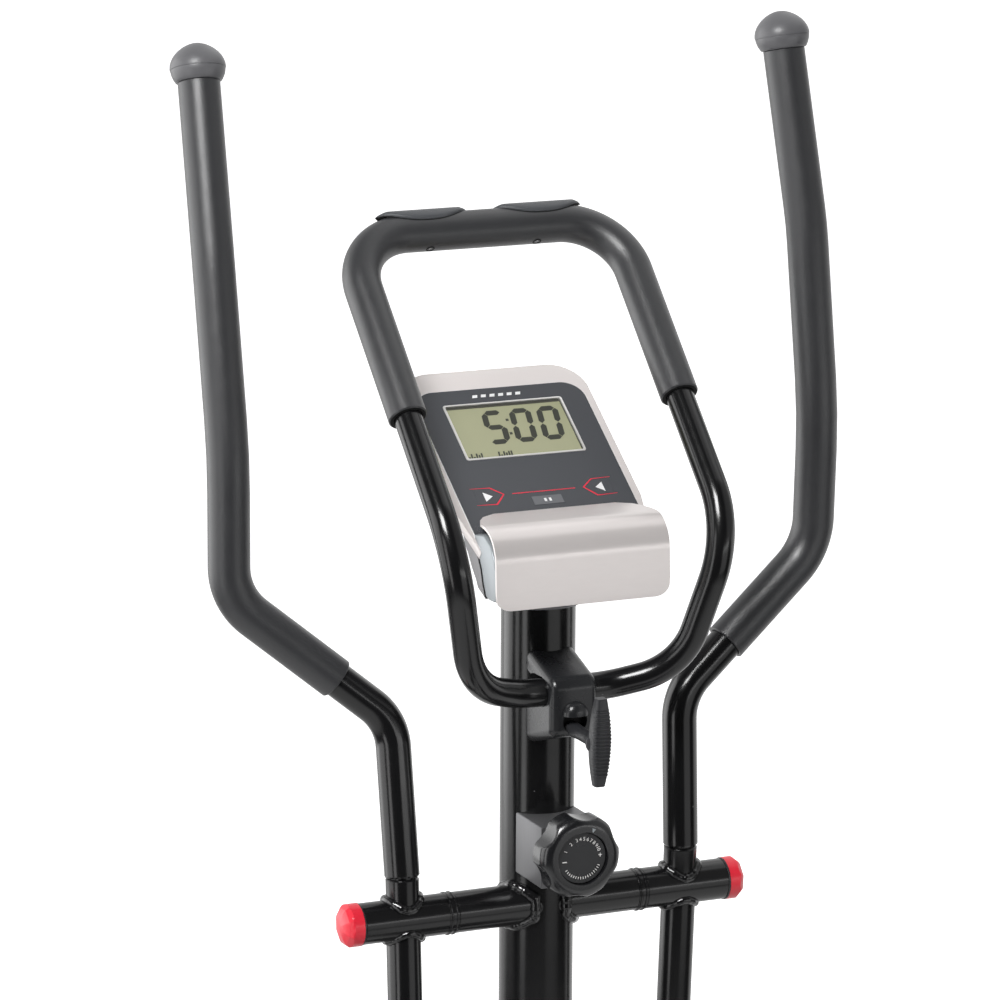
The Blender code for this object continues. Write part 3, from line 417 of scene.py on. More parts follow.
def bent(points, radii, fine=5.0):
    """A path through straight runs, with an arc at each inner point."""
    points = [Vector(point) for point in points]
    path = [points[0]]
    for before, corner, after, radius in zip(points, points[1:], points[2:], radii):
        back = (before - corner).normalized()
        ahead = (after - corner).normalized()
        half = back.angle(ahead) / 2.0
        centre = corner + (back + ahead).normalized() * (radius / sin(half))
        start = corner + back * (radius / tan(half)) - centre
        end = corner + ahead * (radius / tan(half)) - centre
        sweep = start.angle(end)
        steps = max(2, int(degrees(sweep) / fine))
        for step in range(steps + 1):
            share = step / steps
            first = sin((1.0 - share) * sweep) / sin(sweep)
            second = sin(share * sweep) / sin(sweep)
            path.append(centre + start * first + end * second)
    path.append(points[-1])
    return path


def sweep_rings(mesh, path, radii, segments, guide, closed=False):
    """Rings of points round a path."""
    rings = []
    last = len(path) - 1
    for index, point in enumerate(path):
        before = path[index - 1] if closed or index else point
        after = path[(index + 1) % len(path)] if closed or index < last else point
        ahead = ((after - point).normalized() + (point - before).normalized()).normalized()
        normal = ahead.cross(guide).normalized()
        other = ahead.cross(normal)
        rings.append([mesh.verts.new(point + (normal * cos(angle) + other * sin(angle)) * radii[index])
                      for angle in turns(segments)])
    return rings


def tube(path, outer, inner, segments=48, guide=(0, 1, 0), edge=0.6):
    """A round tube along a path, with eased rims."""
    ends = [first.lerp(second, edge / (second - first).length)
            for first, second in ((path[0], path[1]), (path[-1], path[-2]))]
    line = [path[0], ends[0]] + list(path[1:-1]) + [ends[1], path[-1]]
    eased = outer - edge * 0.7
    mesh = bmesh.new()
    walls = [sweep_rings(mesh, line, sizes, segments, Vector(guide))
             for sizes in ([eased] + [outer] * (len(line) - 2) + [eased], [inner] * len(line))]
    for rings in walls:
        loft(mesh, rings)
    for end in (0, -1):
        skin(mesh, walls[0][end], walls[1][end])
    return mesh


def above(path, low_z):
    """The part of a path above a height, cut off level with it."""
    high = [index for index, point in enumerate(path) if point.z > low_z]
    line = path[high[0]:high[-1] + 1]
    for spot, outer, inner in ((0, high[0] - 1, high[0]), (len(line) + 1, high[-1] + 1, high[-1])):
        if outer < len(path):
            share = (low_z - path[outer].z) / (path[inner].z - path[outer].z)
            line.insert(spot, path[outer].lerp(path[inner], share))
    return line


def bead(path, radius, guide, seed=0.0):
    """A closed weld bead with overlapping ripples."""
    mesh = bmesh.new()
    sizes = []
    run = 0.0
    for index, point in enumerate(path):
        run += (point - path[index - 1]).length
        ripple = 0.98 + 0.05 * abs(sin(pi * run / BEAD_PITCH))
        drift = 0.22 * noise.noise(point * 0.07 + Vector((seed, 0, 0)))
        lump = 0.16 * noise.noise(point * 0.22 + Vector((0, seed, 3)))
        sizes.append(radius * (ripple + drift + lump))
    loft(mesh, sweep_rings(mesh, path, sizes, 16, Vector(guide), True), closed=True)
    for vert in mesh.verts:
        vert.co += noise.noise_vector(vert.co * 0.3 + Vector((seed, 1, 2))) * radius * 0.05
    return mesh


def weld_ring(small, big, centre, up, size, seed):
    """A bead where a small round tube meets the outside of a bigger one that runs along X."""
    centre, up, along = Vector(centre), Vector(up), Vector((1, 0, 0))
    side = up.cross(along)
    path = []
    for angle in turns(180):
        across = small * sin(angle)
        rise = sqrt(big * big - across * across)
        path.append(centre + along * small * cos(angle) + side * across + up * rise)
    return bead(path, size, up, seed)


# Post, cross tube and pivot

def build_post():
    ends = [(131, 29.75), (131, 31.25), (131.6, POST_RADIUS), (1133.4, POST_RADIUS), (1134, 31.25),
        (1134, 29.75)]
    cross = turned([(-83.8, 9.8), (-83.8, 17.3), (-83.5, 17.6), (83.5, 17.6), (83.8, 17.3), (83.8, 9.8)],
        (0, PIVOT_Y, PIVOT_Z), (1, 0, 0))
    piece("post_tube", joined(turned(ends, segments=96), cross), POST, ENAMEL, "front_post")
    for side, word in SIDES:
        path = []
        for angle in turns(132):
            across = PIVOT_Y + 17.5 * cos(angle)
            reach = sqrt((POST_RADIUS + 0.4) ** 2 - max(across, -28.8) ** 2)
            path.append(Vector((side * reach, across, PIVOT_Z + 17.5 * sin(angle))))
        piece("post_weld_" + word, bead(path, 4.7, (1, 0, 0), side * 3.0), POST, WELD, smooth=60)
    collar = [(0, 32.3), (0, 39.2), (0.8, 40.0), (8, 42.0), (10, 42.3), (29, 42.3), (31, 41.8), (42, 36.9),
        (43.4, 35.8), (44, 34.6), (44, 32.3)]
    piece("post_foot_collar", turned(collar, (0, 0, 216.3), segments=80), POST, BLACK, "post_collar")
    piece("pivot_shaft", rod((-168, PIVOT_Y, PIVOT_Z), (168, PIVOT_Y, PIVOT_Z), 9.5), POST, STEEL, "pivot_axle")


# Swing arms

def handle_path(side):
    points = [(ARM_X, 0, JOINT_Z + 0.3), (ARM_X, 15, 168), (262.7, 38, 281), (260.5, 36, 400),
              (257.2, 67, 560), (249.4, 109.4, 704)]
    return bent([(side * a, b, c) for a, b, c in points], [48, 55, 300, 300], 4.0)


def build_arm(side, word):
    body = "swing_arm_" + word
    place = SWING[side]
    centre = side * ARM_X

    def on_axle(profile, segments=64):
        return turned(profile, axis=(side, 0, 0), segments=segments)

    long_tube = turned([(-600, 12.8), (-600, 14.8), (0, 14.8), (3, 14.3), (34.6, 14.3), (35.9, 12.9),
        (36, 9.8)], (centre, 0, 0), segments=56)
    sleeve = on_axle([(92.7, 10), (92.7, 17.4), (93.0, 17.7), (168.5, 17.7), (169, 17.2), (169, 10)])
    eye = turned([(-18, 6.4), (-18, 16.5), (-17.5, 17), (17.5, 17), (18, 16.5), (18, 6.4)], (centre, 0, -600),
        (side, 0, 0), 56)
    spigot = turned([(20, 9.8), (20, 11.9), (55, 11.9), (56, 11.0), (56, 9.8)], (centre, 0, 0), segments=48)
    piece("arm_tube_" + word, joined(long_tube, sleeve, eye, spigot), place, ENAMEL, "lower_arm_" + word, body)
    beads = [weld_ring(14.6, 17.7, (centre, 0, 0), (0, 0, 1), 4.1, side * 1.7),
             weld_ring(14.8, 17.7, (centre, 0, 0), (0, 0, -1), 3.6, side * 5.1),
             weld_ring(14.8, 17, (centre, 0, -600), (0, 0, 1), 1.9, side * 7.3)]
    piece("arm_welds_" + word, joined(*beads), place, WELD, body=body, smooth=60)
    path = handle_path(side)
    piece("handle_tube_" + word, tube(path, 15, 12.7, edge=1.5), place, ENAMEL, "upper_handle_" + word, body)
    foam = piece("soft_grip_" + word, tube(above(path, 207.0), 17.8, 15.3, 64, edge=0.5), place, FOAM,
        "foam_grip_" + word, body)
    cap = [(0.15, 0), (0.15, 18.6), (0.5, 19.4), (2.0, 20.4), (4.5, 21.7), (7.5, 22.7), (10.2, 23.15),
        (11.0, 23.1), (11.2, 23.5), (12.2, 23.6), (15, 23.3), (18, 22.4), (21, 20.9), (24, 18.6), (26.7, 15.8),
        (29.2, 12.3), (31.2, 8.4), (32.5, 4.4), (33, 0)]
    piece("handle_cap_" + word, turned(cap, path[-1], path[-1] - path[-2], 80), place, CAP, "grip_cap_" + word,
        body, smooth=45)
    ring = [(84.0, 9.8), (84.0, 17.4), (84.3, 17.6)]
    for ridge in (86.0, 90.6):
        ring += [(ridge + along, size) for along, size in (
            (-1.0, 17.6), (-0.8, 18.2), (-0.3, 18.6), (0.3, 18.6), (0.8, 18.2), (1.0, 17.6))]
    ring += [(92.3, 17.6), (92.5, 17.4), (92.5, 9.8)]
    piece("pivot_ring_" + word, on_axle(ring, 72), place, ENAMEL, "arm_ring_" + word, body, 25)
    piece("end_cap_" + word, faceted_cap(side), place, RED, "arm_end_cap_" + word, body, smooth=14)
    lip = on_axle([(169.05, 14), (169.05, 17.9), (169.5, 18.3), (170.3, 18.3), (170.6, 17.9), (170.6, 14)])
    piece("end_cap_seal_" + word, lip, place, SATIN, body=body)


def faceted_cap(side):
    """A short round cap whose end is cut by eight facets."""
    mesh = bmesh.new()
    rings = []
    for along, apothem in ((170.6, 40), (174, 40), (178.6, 19.2), (179.6, 18.4), (180.8, 17.4), (182.2, 16.2),
        (183.6, 15.0), (184.8, 13.2), (185.8, 10.6), (186.6, 7.2), (187.1, 3.0)):
        ring = []
        for turn in turns(96):
            angle = turn + 0.06
            wedge = (angle + pi / 8.0) % (pi / 4.0) - pi / 8.0
            radius = min(18.4, apothem / cos(wedge))
            ring.append(mesh.verts.new((side * along, radius * cos(angle), radius * sin(angle))))
        rings.append(ring)
    return loft(mesh, rings, capped=True)


# Pedals

def build_pedal(side, word):
    body = "pedal_" + word
    place = PEDAL[side]
    centre = side * ARM_X
    low, high = span(centre - side * 12, centre + side * 62)
    parts = [plate(rounded(centre - 15, centre + 15, -20, 20, 5, 6), "Y", -652, -36, 0.8),
             box((centre - 23.5, -51, -15), (centre + 23.5, -33.5, 15), 2.0),
             *(plate(rounded(-46, 18, -18, 18, 14, 8), "X", centre + start, centre + start + 5, 0.9)
               for start in (-24, 19)),
             rod((centre - 19, -662, 0), (centre + 19, -662, 0), 23, 64, 1.4),
             rod((side * 87, -662, 0), (centre + side * 15, -662, 0), 8),
             *(box((low, spot - 15, 10), (high, spot + 15, 27.7), 1.0) for spot in TRAY_BOLTS)]
    piece("foot_bar_" + word, joined(*parts), place, FRAME_PAINT, "pedal_bar_" + word, body)
    bolt = [rod((centre - 30, 0, 0), (centre + 30, 0, 0), 6)]
    bolt += [plate(HEXAGON, "X", centre + start, centre + start + 5.7, 0.7) for start in (-30, 24.3)]
    piece("hinge_bolt_" + word, joined(*bolt), place, STEEL, "pivot_bolt_" + word, body)
    low, high = span(side * 100.0, side * 245.0)
    treads = [carved(plate(rounded(low, high, -475, -135, 32, 10), "Z", 28, 58, 1.5),
        plate(rounded(low + 5, high - 5, -470, -140, 27, 10), "Z", 36, 70),
        plate(rounded(low - 20, high + 20, -440, -180, 30, 10), "Z", 48, 70))]
    for column in range(9):
        across = low + 17.5 + 13.75 * column
        ends = 34.0 if column in (0, 8) else 18.0
        treads.append(box((across - 2.2, -470 + ends, 35.4), (across + 2.2, -140 - ends, 37.6), 0.9, 2))
    for along in range(-445, -204, 40):
        treads.append(box((low + 14, along - 1.4, 35.4), (high - 14, along + 1.4, 36.9), 0.5, 2))
    piece("foot_tray_" + word, joined(*treads), place, BLACK, "footplate_" + word, body)
    screw = [(0, 0), (0, 5.2), (1.1, 4.6), (1.9, 2.6), (1.9, 1.6), (1.0, 1.6), (1.0, 0)]
    screws = [turned(screw, (centre + side * out, along, 37.6), segments=24)
              for along in TRAY_BOLTS for out in (10, 46)]
    piece("tray_screws_" + word, joined(*screws), place, STEEL, body=body)


# Loop handle

def loop_path():
    half = [(0.6, CLAMP_Y, CLAMP_Z), (40, CLAMP_Y, CLAMP_Z), (96, -80, 213), (124, -110.5, 334),
            (125, *LOOP_TOP)]
    left = [(-a, b, c) for a, b, c in reversed(half)]
    return bent(half + left, [60, 64, 78, 55, 55, 78, 64, 60], 4.0)


def build_loop():
    def add_piece(name, mesh, surface, stands=None, smooth=32.0):
        return piece(name, mesh, UPPER, surface, stands, "loop_handle", smooth)

    path = loop_path()
    add_piece("loop_tube", tube(path, 12.0, 10.0, 48, (0, 1, -1)), ENAMEL, "handlebar_loop")
    line = above(path, 430.0)
    foam = add_piece("loop_foam", tube(line, LOOP_GRIP, 12.9, 72, (0, 1, -1), 1.2), FOAM, "handlebar_grip")
    # Painted shade: dark rings in the mouths of the foam, where the gap round the tube lies in shade.
    throat = [(-0.15, 12.4), (-0.15, 15.2), (1.0, 15.2), (1.0, 12.4)]
    throats = [turned(throat, line[end], line[inner] - line[end]) for end, inner in ((0, 1), (-1, -2))]
    add_piece("loop_foam_throat_shadows", joined(*throats), PAINTED_SHADE)
    way = Vector((0, -0.62, -0.785)).normalized()
    # Painted shade: the dark wells under the steel screws stand for the shade in the screw holes.
    for name, surface, slot, profile, segments in (("grip_screw_well_shadows", PAINTED_SHADE, "foam",
            [(0, 0), (0, 3.6), (0.9, 3.9), (1.15, 3.6), (1.15, 2.9), (0.3, 2.6), (0.3, 0)], 32),
            ("grip_screws", STEEL, None, [(0.35, 0), (0.35, 2.2), (0.75, 2.0), (0.9, 1.0), (0.7, 0.9),
            (0.7, 0)], 24)):
        screws = [turned(profile, Vector((across, *LOOP_TOP)) + way * (LOOP_GRIP - 0.9), way, segments)
                  for across in (-52, 47)]
        add_piece(name, joined(*screws), surface)
    for word, low, high in (("left", -95.0, -11.0), ("right", 12.0, 95.0)):
        add_piece("hand_pulse_pad_" + word, lens_pad(low, high, -0.4, 3.4, 66.0, 1.3), PAD, "pulse_pad_" + word,
            smooth=50)
        # Painted shadow: a thin dark sheet under each pad, a little wider than it, stands for the shadow gap at
        # the pad's seam.
        add_piece("pad_seam_shadow_" + word, lens_pad(low - 0.5, high + 0.5, -1.0, 0.25, 68.5, 1.2), PAINTED_SHADE,
            smooth=50)


def lens_pad(low, high, base, top, half_angle, edge):
    """A lens-shaped pad hugging the far upper side of the foam bar."""
    mesh = bmesh.new()
    rows, columns = 64, 24
    surfaces = []
    for level in (0.0, 1.0):
        grid = []
        for row in range(rows + 1):
            share = row / rows
            swell = max(1.0 - abs(2.0 * share - 1.0) ** 2.4, 0.0)
            wide = radians(half_angle) * max(swell ** 0.8, 0.02)
            lift = min(swell * 2.2, 1.0) ** 0.8
            line = []
            for column in range(columns + 1):
                turn = 2.0 * column / columns - 1.0
                angle = radians(62.0) + wide * turn
                crown = (1.0 - abs(turn) ** 4) ** 0.5
                out = LOOP_GRIP + base + level * ((edge + (top - base - edge) * crown) * lift + 0.02)
                line.append(mesh.verts.new((low + (high - low) * share, LOOP_TOP[0] + out * cos(angle),
                    LOOP_TOP[1] + out * sin(angle))))
            grid.append(line)
        surfaces.append(grid)
    return close_grids(mesh, *surfaces)


def close_grids(mesh, first, second):
    """Two matching grids of points as the faces of one closed sheet."""
    rows = len(first) - 1
    columns = len(first[0]) - 1
    for row in range(rows):
        for column in range(columns):
            for grid in (first, second):
                mesh.faces.new((grid[row][column], grid[row][column + 1], grid[row + 1][column + 1],
                    grid[row + 1][column]))
        for column in (0, columns):
            mesh.faces.new((first[row][column], first[row + 1][column], second[row + 1][column],
                second[row][column]))
    for row in (0, rows):
        for column in range(columns):
            mesh.faces.new((first[row][column], first[row][column + 1], second[row][column + 1],
                second[row][column]))
    return mesh


def build_clamp():
    side = hull([(-63, CLAMP_Z + 3.5, 13), (-26, CLAMP_Z + 20, 9), (-26, CLAMP_Z - 41.5, 9),
                 (-67, CLAMP_Z - 28.5, 9)], 120)
    notch = plate([(-56, CLAMP_Z + 13), (-40, CLAMP_Z + 12.6), (-32, CLAMP_Z + 10.5), (-25, CLAMP_Z + 13),
        (-19, CLAMP_Z + 19), (-8, CLAMP_Z + 19), (-8, CLAMP_Z - 12), (-56, CLAMP_Z - 12)], "X", -30, 30)
    block = carved(plate(side, "X", -21.5, 21.5, 7.0, 8),
                   rod((0, 0, 60), (0, 0, 300), POST_RADIUS + 0.3, 96),
                   rod((-40, CLAMP_Y, CLAMP_Z), (40, CLAMP_Y, CLAMP_Z), 12.4, 64), notch,
                   rod((0, -90, BOLT_Z + 7.5), (0, -66, BOLT_Z + 7.5), 11.0, 48))
    hood = turned([(-6, 0), (-6, 11.6), (0, 11.6), (3, 11.0), (5.4, 9.6), (7.2, 7.4), (8.4, 4.4), (8.8, 0)],
                  (0, -75.2, BOLT_Z + 13.5), (0, -1, 0), 56)
    hood = carved(hood, box((-20, -95, 140), (20, -60, BOLT_Z + 13)))
    piece("clamp_body", joined(block, hood), UPPER, SATIN, "clamp_block", smooth=28)
    # Painted shade: a dark disc at the back of the bolt well.
    well = turned([(0, 0), (0, 10.9), (1.2, 10.9), (1.2, 0)], (0, -67.5, BOLT_Z + 7.5), (0, -1, 0), 40)
    piece("clamp_bolt_well_shadow", well, UPPER, PAINTED_SHADE)
    shank = [(-6, 0), (-6, 6.6), (3, 6.4), (9, 5.9), (27, 5.7), (35, 6.8), (41, 9.6), (45, 10.2), (50, 0)]
    parts = [turned(shank, (0, -76, BOLT_Z), (0, -1, 0), 48), wing(),
             rod((0, -96, BOLT_Z), (0, -46, BOLT_Z), 4, 32)]
    piece("clamp_wing_knob", joined(*parts), UPPER, BLACK, "clamp_knob", "clamp_screw", smooth=30)


def wing():
    """The upright lens-shaped grip of the clamp knob, ribbed across its outer face."""
    mesh = bmesh.new()
    rows, half_height, middle_y, pitch = 192, 37.5, -124.3, 3.1
    rings = []
    for row in range(rows + 1):
        up = half_height * (2.0 * row / rows - 1.0)
        share = abs(up) / half_height
        width = (1.0 - 0.44 * share ** 1.9) * (0.93 if row in (0, rows) else 1.0)
        rib = 0.9 if share < 0.76 and (up / pitch) % 1.0 < 0.4 else 0.0
        ring = []
        for angle in turns(48):
            c, s = cos(angle), sin(angle)
            across = copysign(abs(s) ** 0.55, s) * 8.4 * width
            along = copysign(abs(c) ** 0.55, c) * 8.0 * width
            ridge = rib * max(-c, 0.0) ** 0.5
            ring.append(mesh.verts.new((across * (1.0 + 0.05 * ridge), middle_y + along - ridge,
                BOLT_Z + 1.8 + up)))
        rings.append(ring)
    lean_in = move(0, middle_y, BOLT_Z) @ Matrix.Rotation(radians(1.0), 4, "Y") @ move(0, -middle_y, -BOLT_Z)
    return placed(loft(mesh, rings, capped=True), lean_in)


# Tension control


def build_tension():
    housing = carved(plate(rounded(-27, 27, 29.5, 83, 1.6, 4), "Y", -69, -16, 0.7, 2),
        rod((0, 0, 0), (0, 0, 160), POST_RADIUS + 0.3, 96))
    piece("tension_case", housing, UPPER, GREY, "tension_housing", smooth=28)
    knob_place = UPPER @ move(0, -69, DIAL_Z)
    piece("tension_dial_knob", scalloped_knob(), knob_place, KNOB, "tension_knob", "tension_selector",
        smooth=30)
    dial = [(-92, 0), (-92, 21.6), (-91.6, 22.1), (-88.5, 22.2), (-88.5, 8), (-69.3, 8), (-69.3, 0)]
    piece("tension_scale_disc", turned(dial, (0, 0, DIAL_Z), (0, 1, 0), 96), UPPER, SATIN, "tension_dial")
    marks = [dial_mark("1", 16.4, 155.0, 4.5), dial_mark("2", 16.4, 128.0, 4.5)]
    marks += [dial_mark(str(number), 16.5, 107.0 - (number - 3) * 11.8, 4.4) for number in range(3, 11)]
    marks += [box((-18.0, -92.2, 57.6), (-14.0, -91.95, 58.4)), dial_mark("+", 16.8, 3.0, 6.5)]
    marks += [placed(box((-0.3, -0.12, -1.1), (0.3, 0.1, 1.1)), on_dial(17.2, 214.0 + 7.5 * step))
              for step in range(17)]
    piece("dial_numbers", joined(*marks), UPPER, PALE)
    pointer = plate([(-1.8, 1.7), (1.8, 1.7), (0, -2.1)], "Y", -26.14, -25.6)
    spot = Matrix.Rotation(radians(21.0), 4, "Y") @ move(0, 0, 25.4)
    piece("knob_pointer", placed(pointer, spot), knob_place, POINTER_GREY_AND_NOSE_SHADE, body="tension_selector")


def on_dial(radius, turn, upright=False):
    """A place on the dial's face, turned outwards unless it stays upright."""
    angle = radians(turn)
    spot = move(radius * cos(angle), DIAL_FACE_Y, DIAL_Z + radius * sin(angle))
    return spot if upright else spot @ Matrix.Rotation(pi / 2 - angle, 4, "Y")


def dial_mark(text, radius, turn, size):
    """A generic figure on the dial."""
    curve = bpy.data.curves.new("figure", "FONT")
    curve.body = text
    curve.size = size
    curve.align_x = curve.align_y = "CENTER"
    curve.extrude = 0.1
    curve.resolution_u = 3
    item = show("figure", curve)
    mesh = evaluated_mesh(item)
    bpy.data.objects.remove(item)
    bpy.data.curves.remove(curve)
    return placed(mesh, on_dial(radius, turn, text == "+") @ lean(90))


def scalloped_knob():
    """A knob with six wide finger hollows, a domed rim and a recessed middle, front towards -Y."""
    mesh = bmesh.new()
    rings = []
    profile = [(-2.5, 8.3), (-2.5, 34.6), (-2.9, 35.8), (-4.0, 36.5), (-16.0, 36.5)]
    for step in range(1, 13):
        angle = radians(7.5 * step)
        profile.append((-16.0 - 10.0 * sin(angle), 26.5 + 10.0 * cos(angle)))
    profile += [(-26.0, 23.2), (-25.6, 22.6), (-19.0, 22.5), (-19.0, 8.3)]
    sixth, finger_reach, finger_radius, first_hollow = pi / 3.0, 57.4, 25.0, radians(24.0)
    for depth, limit in profile:
        ring = []
        for angle in turns(288):
            turn = (angle - first_hollow + sixth / 2.0) % sixth - sixth / 2.0
            beside = finger_reach * sin(turn)
            hollow = finger_reach * cos(turn) - sqrt(max(finger_radius ** 2 - beside ** 2, 0.0))
            radius = min(limit, hollow) - max(1.4 - abs(limit - hollow), 0.0) ** 2 / 5.6
            ring.append(mesh.verts.new((radius * cos(angle), depth, radius * sin(angle))))
        rings.append(ring)
    return loft(mesh, rings, closed=True)


# Console


def console_outline(half, top, radius, bottom, steps=12):
    outline = []
    for sign, start in ((1, 0), (-1, 90)):
        for step in range(steps + 1):
            angle = radians(start + 90.0 * step / steps)
            outline.append((sign * (half - radius) + radius * cos(angle), top - radius + radius * sin(angle)))
    return outline + [(-half, bottom), (half, bottom)]


def quad(low_a, high_a, low_b, high_b, slant=0.0):
    """Four corners, with the upper two shifted along."""
    return [(low_a, low_b), (high_a, low_b), (high_a + slant, high_b), (low_a + slant, high_b)]


def flat(outline, low, high, edge=0.0):
    return plate(outline, "Z", low, high, edge, 2)


ARROW_KEY = ((-62.2, -97.3), (-47.0, -97.9), (-38.0, -105.4), (-46.6, -114.9), (-62.2, -114.2))
KEYS = {"left": ARROW_KEY, "right": tuple((-a, b) for a, b in reversed(ARROW_KEY)),
        "mode": quad(-13.5, 13.5, -120.5, -111.0)}


def grown(outline, amount):
    """A convex outline moved outwards from its middle."""
    middle = sum((Vector(point) for point in outline), Vector((0, 0))) / len(outline)
    return [tuple(Vector(point) + (Vector(point) - middle).normalized() * amount) for point in outline]


def build_console():
    keys = KEYS.values()
    face = console_outline(86, 41.5, 31, -118)[:-1] + [(-81.5, -146), (-78.7, -166), (78.7, -166),
        (81.5, -146), (86, -118)]
    shell = carved(flat(face, -9.9, -1.3, 1.2), box((-54.8, -64.0, -4.6), (54.8, 0.3, 5)),
        *(flat(grown(outline, 1.2), -6.0, 5.0) for outline in keys))
    piece("console_face", shell, PANEL, SILVER, "console_front", smooth=30)
    outline = console_outline(78, 17.5, 19, -146)[:-2] + [(-78, -146), (-70, -153), (70, -153), (78, -146)]
    film = carved(flat(outline, -1.0, 0.0), box((-54.5, -63.7, -4), (54.5, 0.0, 4)),
        *(flat(grown(outline, 0.16), -4.0, 4.0) for outline in keys))
    piece("console_film", film, PANEL, FILM, "button_panel")
    edge = carved(flat(console_outline(78.5, 18, 19.5, -150), -1.28, -0.35),
        flat(console_outline(77.9, 17.4, 18.9, -170), -3, 3))
    piece("film_edge", edge, PANEL, WHITE)
    piece("display_pane", box((-54.2, -63.4, -4.2), (54.2, -0.3, -0.9)), PANEL, LCD, "display_window")
    trim = carved(flat(rounded(-55.3, 55.3, -64.2, 0.9, 2.6, 5), -0.9, 0.55, 0.35),
        flat(rounded(-53.3, 53.3, -62.4, -0.9, 1.6, 4), -4, 4))
    piece("display_trim", trim, PANEL, TRIM)
    band = [flat(quad(-53.3, 53.3, -3.9, -0.9), -0.88, -0.72), flat(quad(52.3, 53.3, -62.4, -3.9), -0.88,
        -0.72)]
    piece("display_shade_band", joined(*band), PANEL, SHADE)
    piece("display_digits", display_digits(), PANEL, INK)
    for word, outline in KEYS.items():
        surface, top = (KEY, 0.3) if word == "mode" else (FILM, 0.03)
        piece("key_pad_" + word, flat(outline, -3.2, top), PANEL, surface, "button_" + word, "key_" + word)
    for side, word in ((1, "left"), (-1, "right")):
        arrow = [(side * -54.7, -111.8), (side * -54.7, -101.2), (side * -47.3, -106.5)]
        piece("key_arrow_" + word, flat(arrow, 0.03, 0.14), PANEL, WHITE, body="key_" + word)
        piece("key_bracket_" + word, key_bracket(side), PANEL, RED_PRINT)
    dots = [flat(quad(a - 1.1, a + 1.1, -117.5, -113.9), 0.3, 0.4) for a in (-2.2, 2.2)]
    piece("key_mark_mode", joined(*dots), PANEL, WHITE, body="key_mode")
    piece("panel_rule", flat(quad(-28.9, 28.9, -105.9, -105.0), -0.02, 0.1), PANEL, RED_PRINT)
    speckle = []
    for row in range(7):
        size = 0.75 - 0.07 * row
        for column in range(6):
            a, b = -76.0 + 2.3 * column + 1.1 * (row % 2), -150.5 + 2.1 * row
            if a + b * 0.25 < -101.0:
                dot = [(-0.02, 0), (-0.02, size), (0.08, size), (0.08, 0)]
                speckle.append(turned(dot, (a + 2, b, 0), segments=8))
    piece("panel_dots", joined(*speckle), PANEL, KEY)
    stripes = [flat(quad(a, a + 4.6, 7.2, 10.4, 1.2), -0.02, 0.1) for a in range(-25, 16, 8)]
    piece("panel_stripes", joined(*stripes), PANEL, WHITE)
    build_console_rear()
    build_lip()


def display_digits():
    """Seven-segment figures reading 5:00, with small generic bars below."""
    width, height, half, gap, slant, base = 20.2, 39.2, 2.7, 0.3, 0.14, -61.2
    shapes = []

    def bar(first, second):
        first, second = Vector(first), Vector(second)
        way = (second - first).normalized()
        off = Vector((-way.y, way.x))
        first, second = first + way * gap, second - way * gap
        return [first, first + (way + off) * half, second - (way - off) * half, second,
            second - (way + off) * half, first + (way - off) * half]

    left, right, low, mid, high = half, width - half, half, height / 2.0, height - half
    lines = {"A": ((left, high), (right, high)), "B": ((right, high), (right, mid)),
        "C": ((right, mid), (right, low)), "D": ((left, low), (right, low)), "E": ((left, mid), (left, low)),
        "F": ((left, high), (left, mid)), "G": ((left, mid), (right, mid))}
    for segments, start in (("AFGCD", -28.4), ("ABCDEF", -3.0), ("ABCDEF", 22.4)):
        for name in segments:
            shapes.append([(start + a + b * slant, -47.4 + b) for a, b in bar(*lines[name])])
    for a, b in ((-2.6, -20.4), (-4.6, -36.2)):
        shapes.append(quad(a - 1.3, a + 1.3, b - 1.3, b + 1.3, 0.3))
    for start, tall in ((-52.0, (1, 3, 1, 3, 2, 3)), (-24.6, (3, 1, 3, 2, 3, 3))):
        for step, height in enumerate(tall):
            a = start + 2.3 * step
            shapes.append(quad(a, a + 1.5, base, base + 1.75 * height, 0.2 * height))
    return joined(*[flat(shape, -0.88, -0.76) for shape in shapes])


def key_bracket(side):
    """A thin hexagonal bracket round a key, pointing to the middle."""
    line = [(-64.5, -96.3), (-46.7, -96.9), (-36.7, -105.4), (-46.3, -115.9), (-64.5, -115.2)]
    edges = []
    for point, width in zip(line, (0.25, 0.55, 0.8, 0.7, 0.25)):
        point = Vector(point)
        way = (point - Vector((-56.0, -106.0))).normalized() * width
        edges.append((point + way, point - way))
    shapes = []
    for first, second in zip(edges, edges[1:]):
        shape = [(a * side, b) for a, b in (first[0], second[0], second[1], first[1])]
        shapes.append(flat(shape[::side], 0.02, 0.14))
    return joined(*shapes)


def build_console_rear():
    turn = lean(-34.2) @ move(0, -78, -417)
    socket = placed(turned([(262, 30), (262, 38), (263, 39), (310, 39), (310, 30)], segments=96), turn)
    shell = carved(tapered_back(), placed(rod((0, 0, -200), (0, 0, 302), POST_RADIUS + 0.3, 96), turn))
    piece("console_back", joined(shell, socket), PANEL, LILAC, "console_rear", smooth=30)
    # Painted shade: dark strips stand for the shaded insides of the vent slots.
    vents = [flat(rounded(-30, 30, low, low + 2.6, 1.2, 3), -60.35, -59.9) for low in range(-118, -82, 7)]
    piece("console_back_vent_shadows", joined(*vents), PANEL, PAINTED_SHADE)
    door = [flat(rounded(-34, 34, 0, 34, 4, 6), -62.5, -60.3, 0.6),
            flat(rounded(-9, 9, 28, 33, 1.5, 4), -63.0, -62.4, 0.2)]
    piece("battery_door", joined(*door), PANEL, SATIN, "battery_cover")
    screw = [(-60.2, 0), (-60.2, 4.2), (-60.9, 3.6), (-61.1, 2.0), (-60.5, 1.4), (-60.5, 0)]
    screws = [turned(screw, (a, b, 0), segments=28) for a, b in ((-43, 8), (43, 8), (-43, -128), (43, -128))]
    piece("console_screws", joined(*screws), PANEL, STEEL)


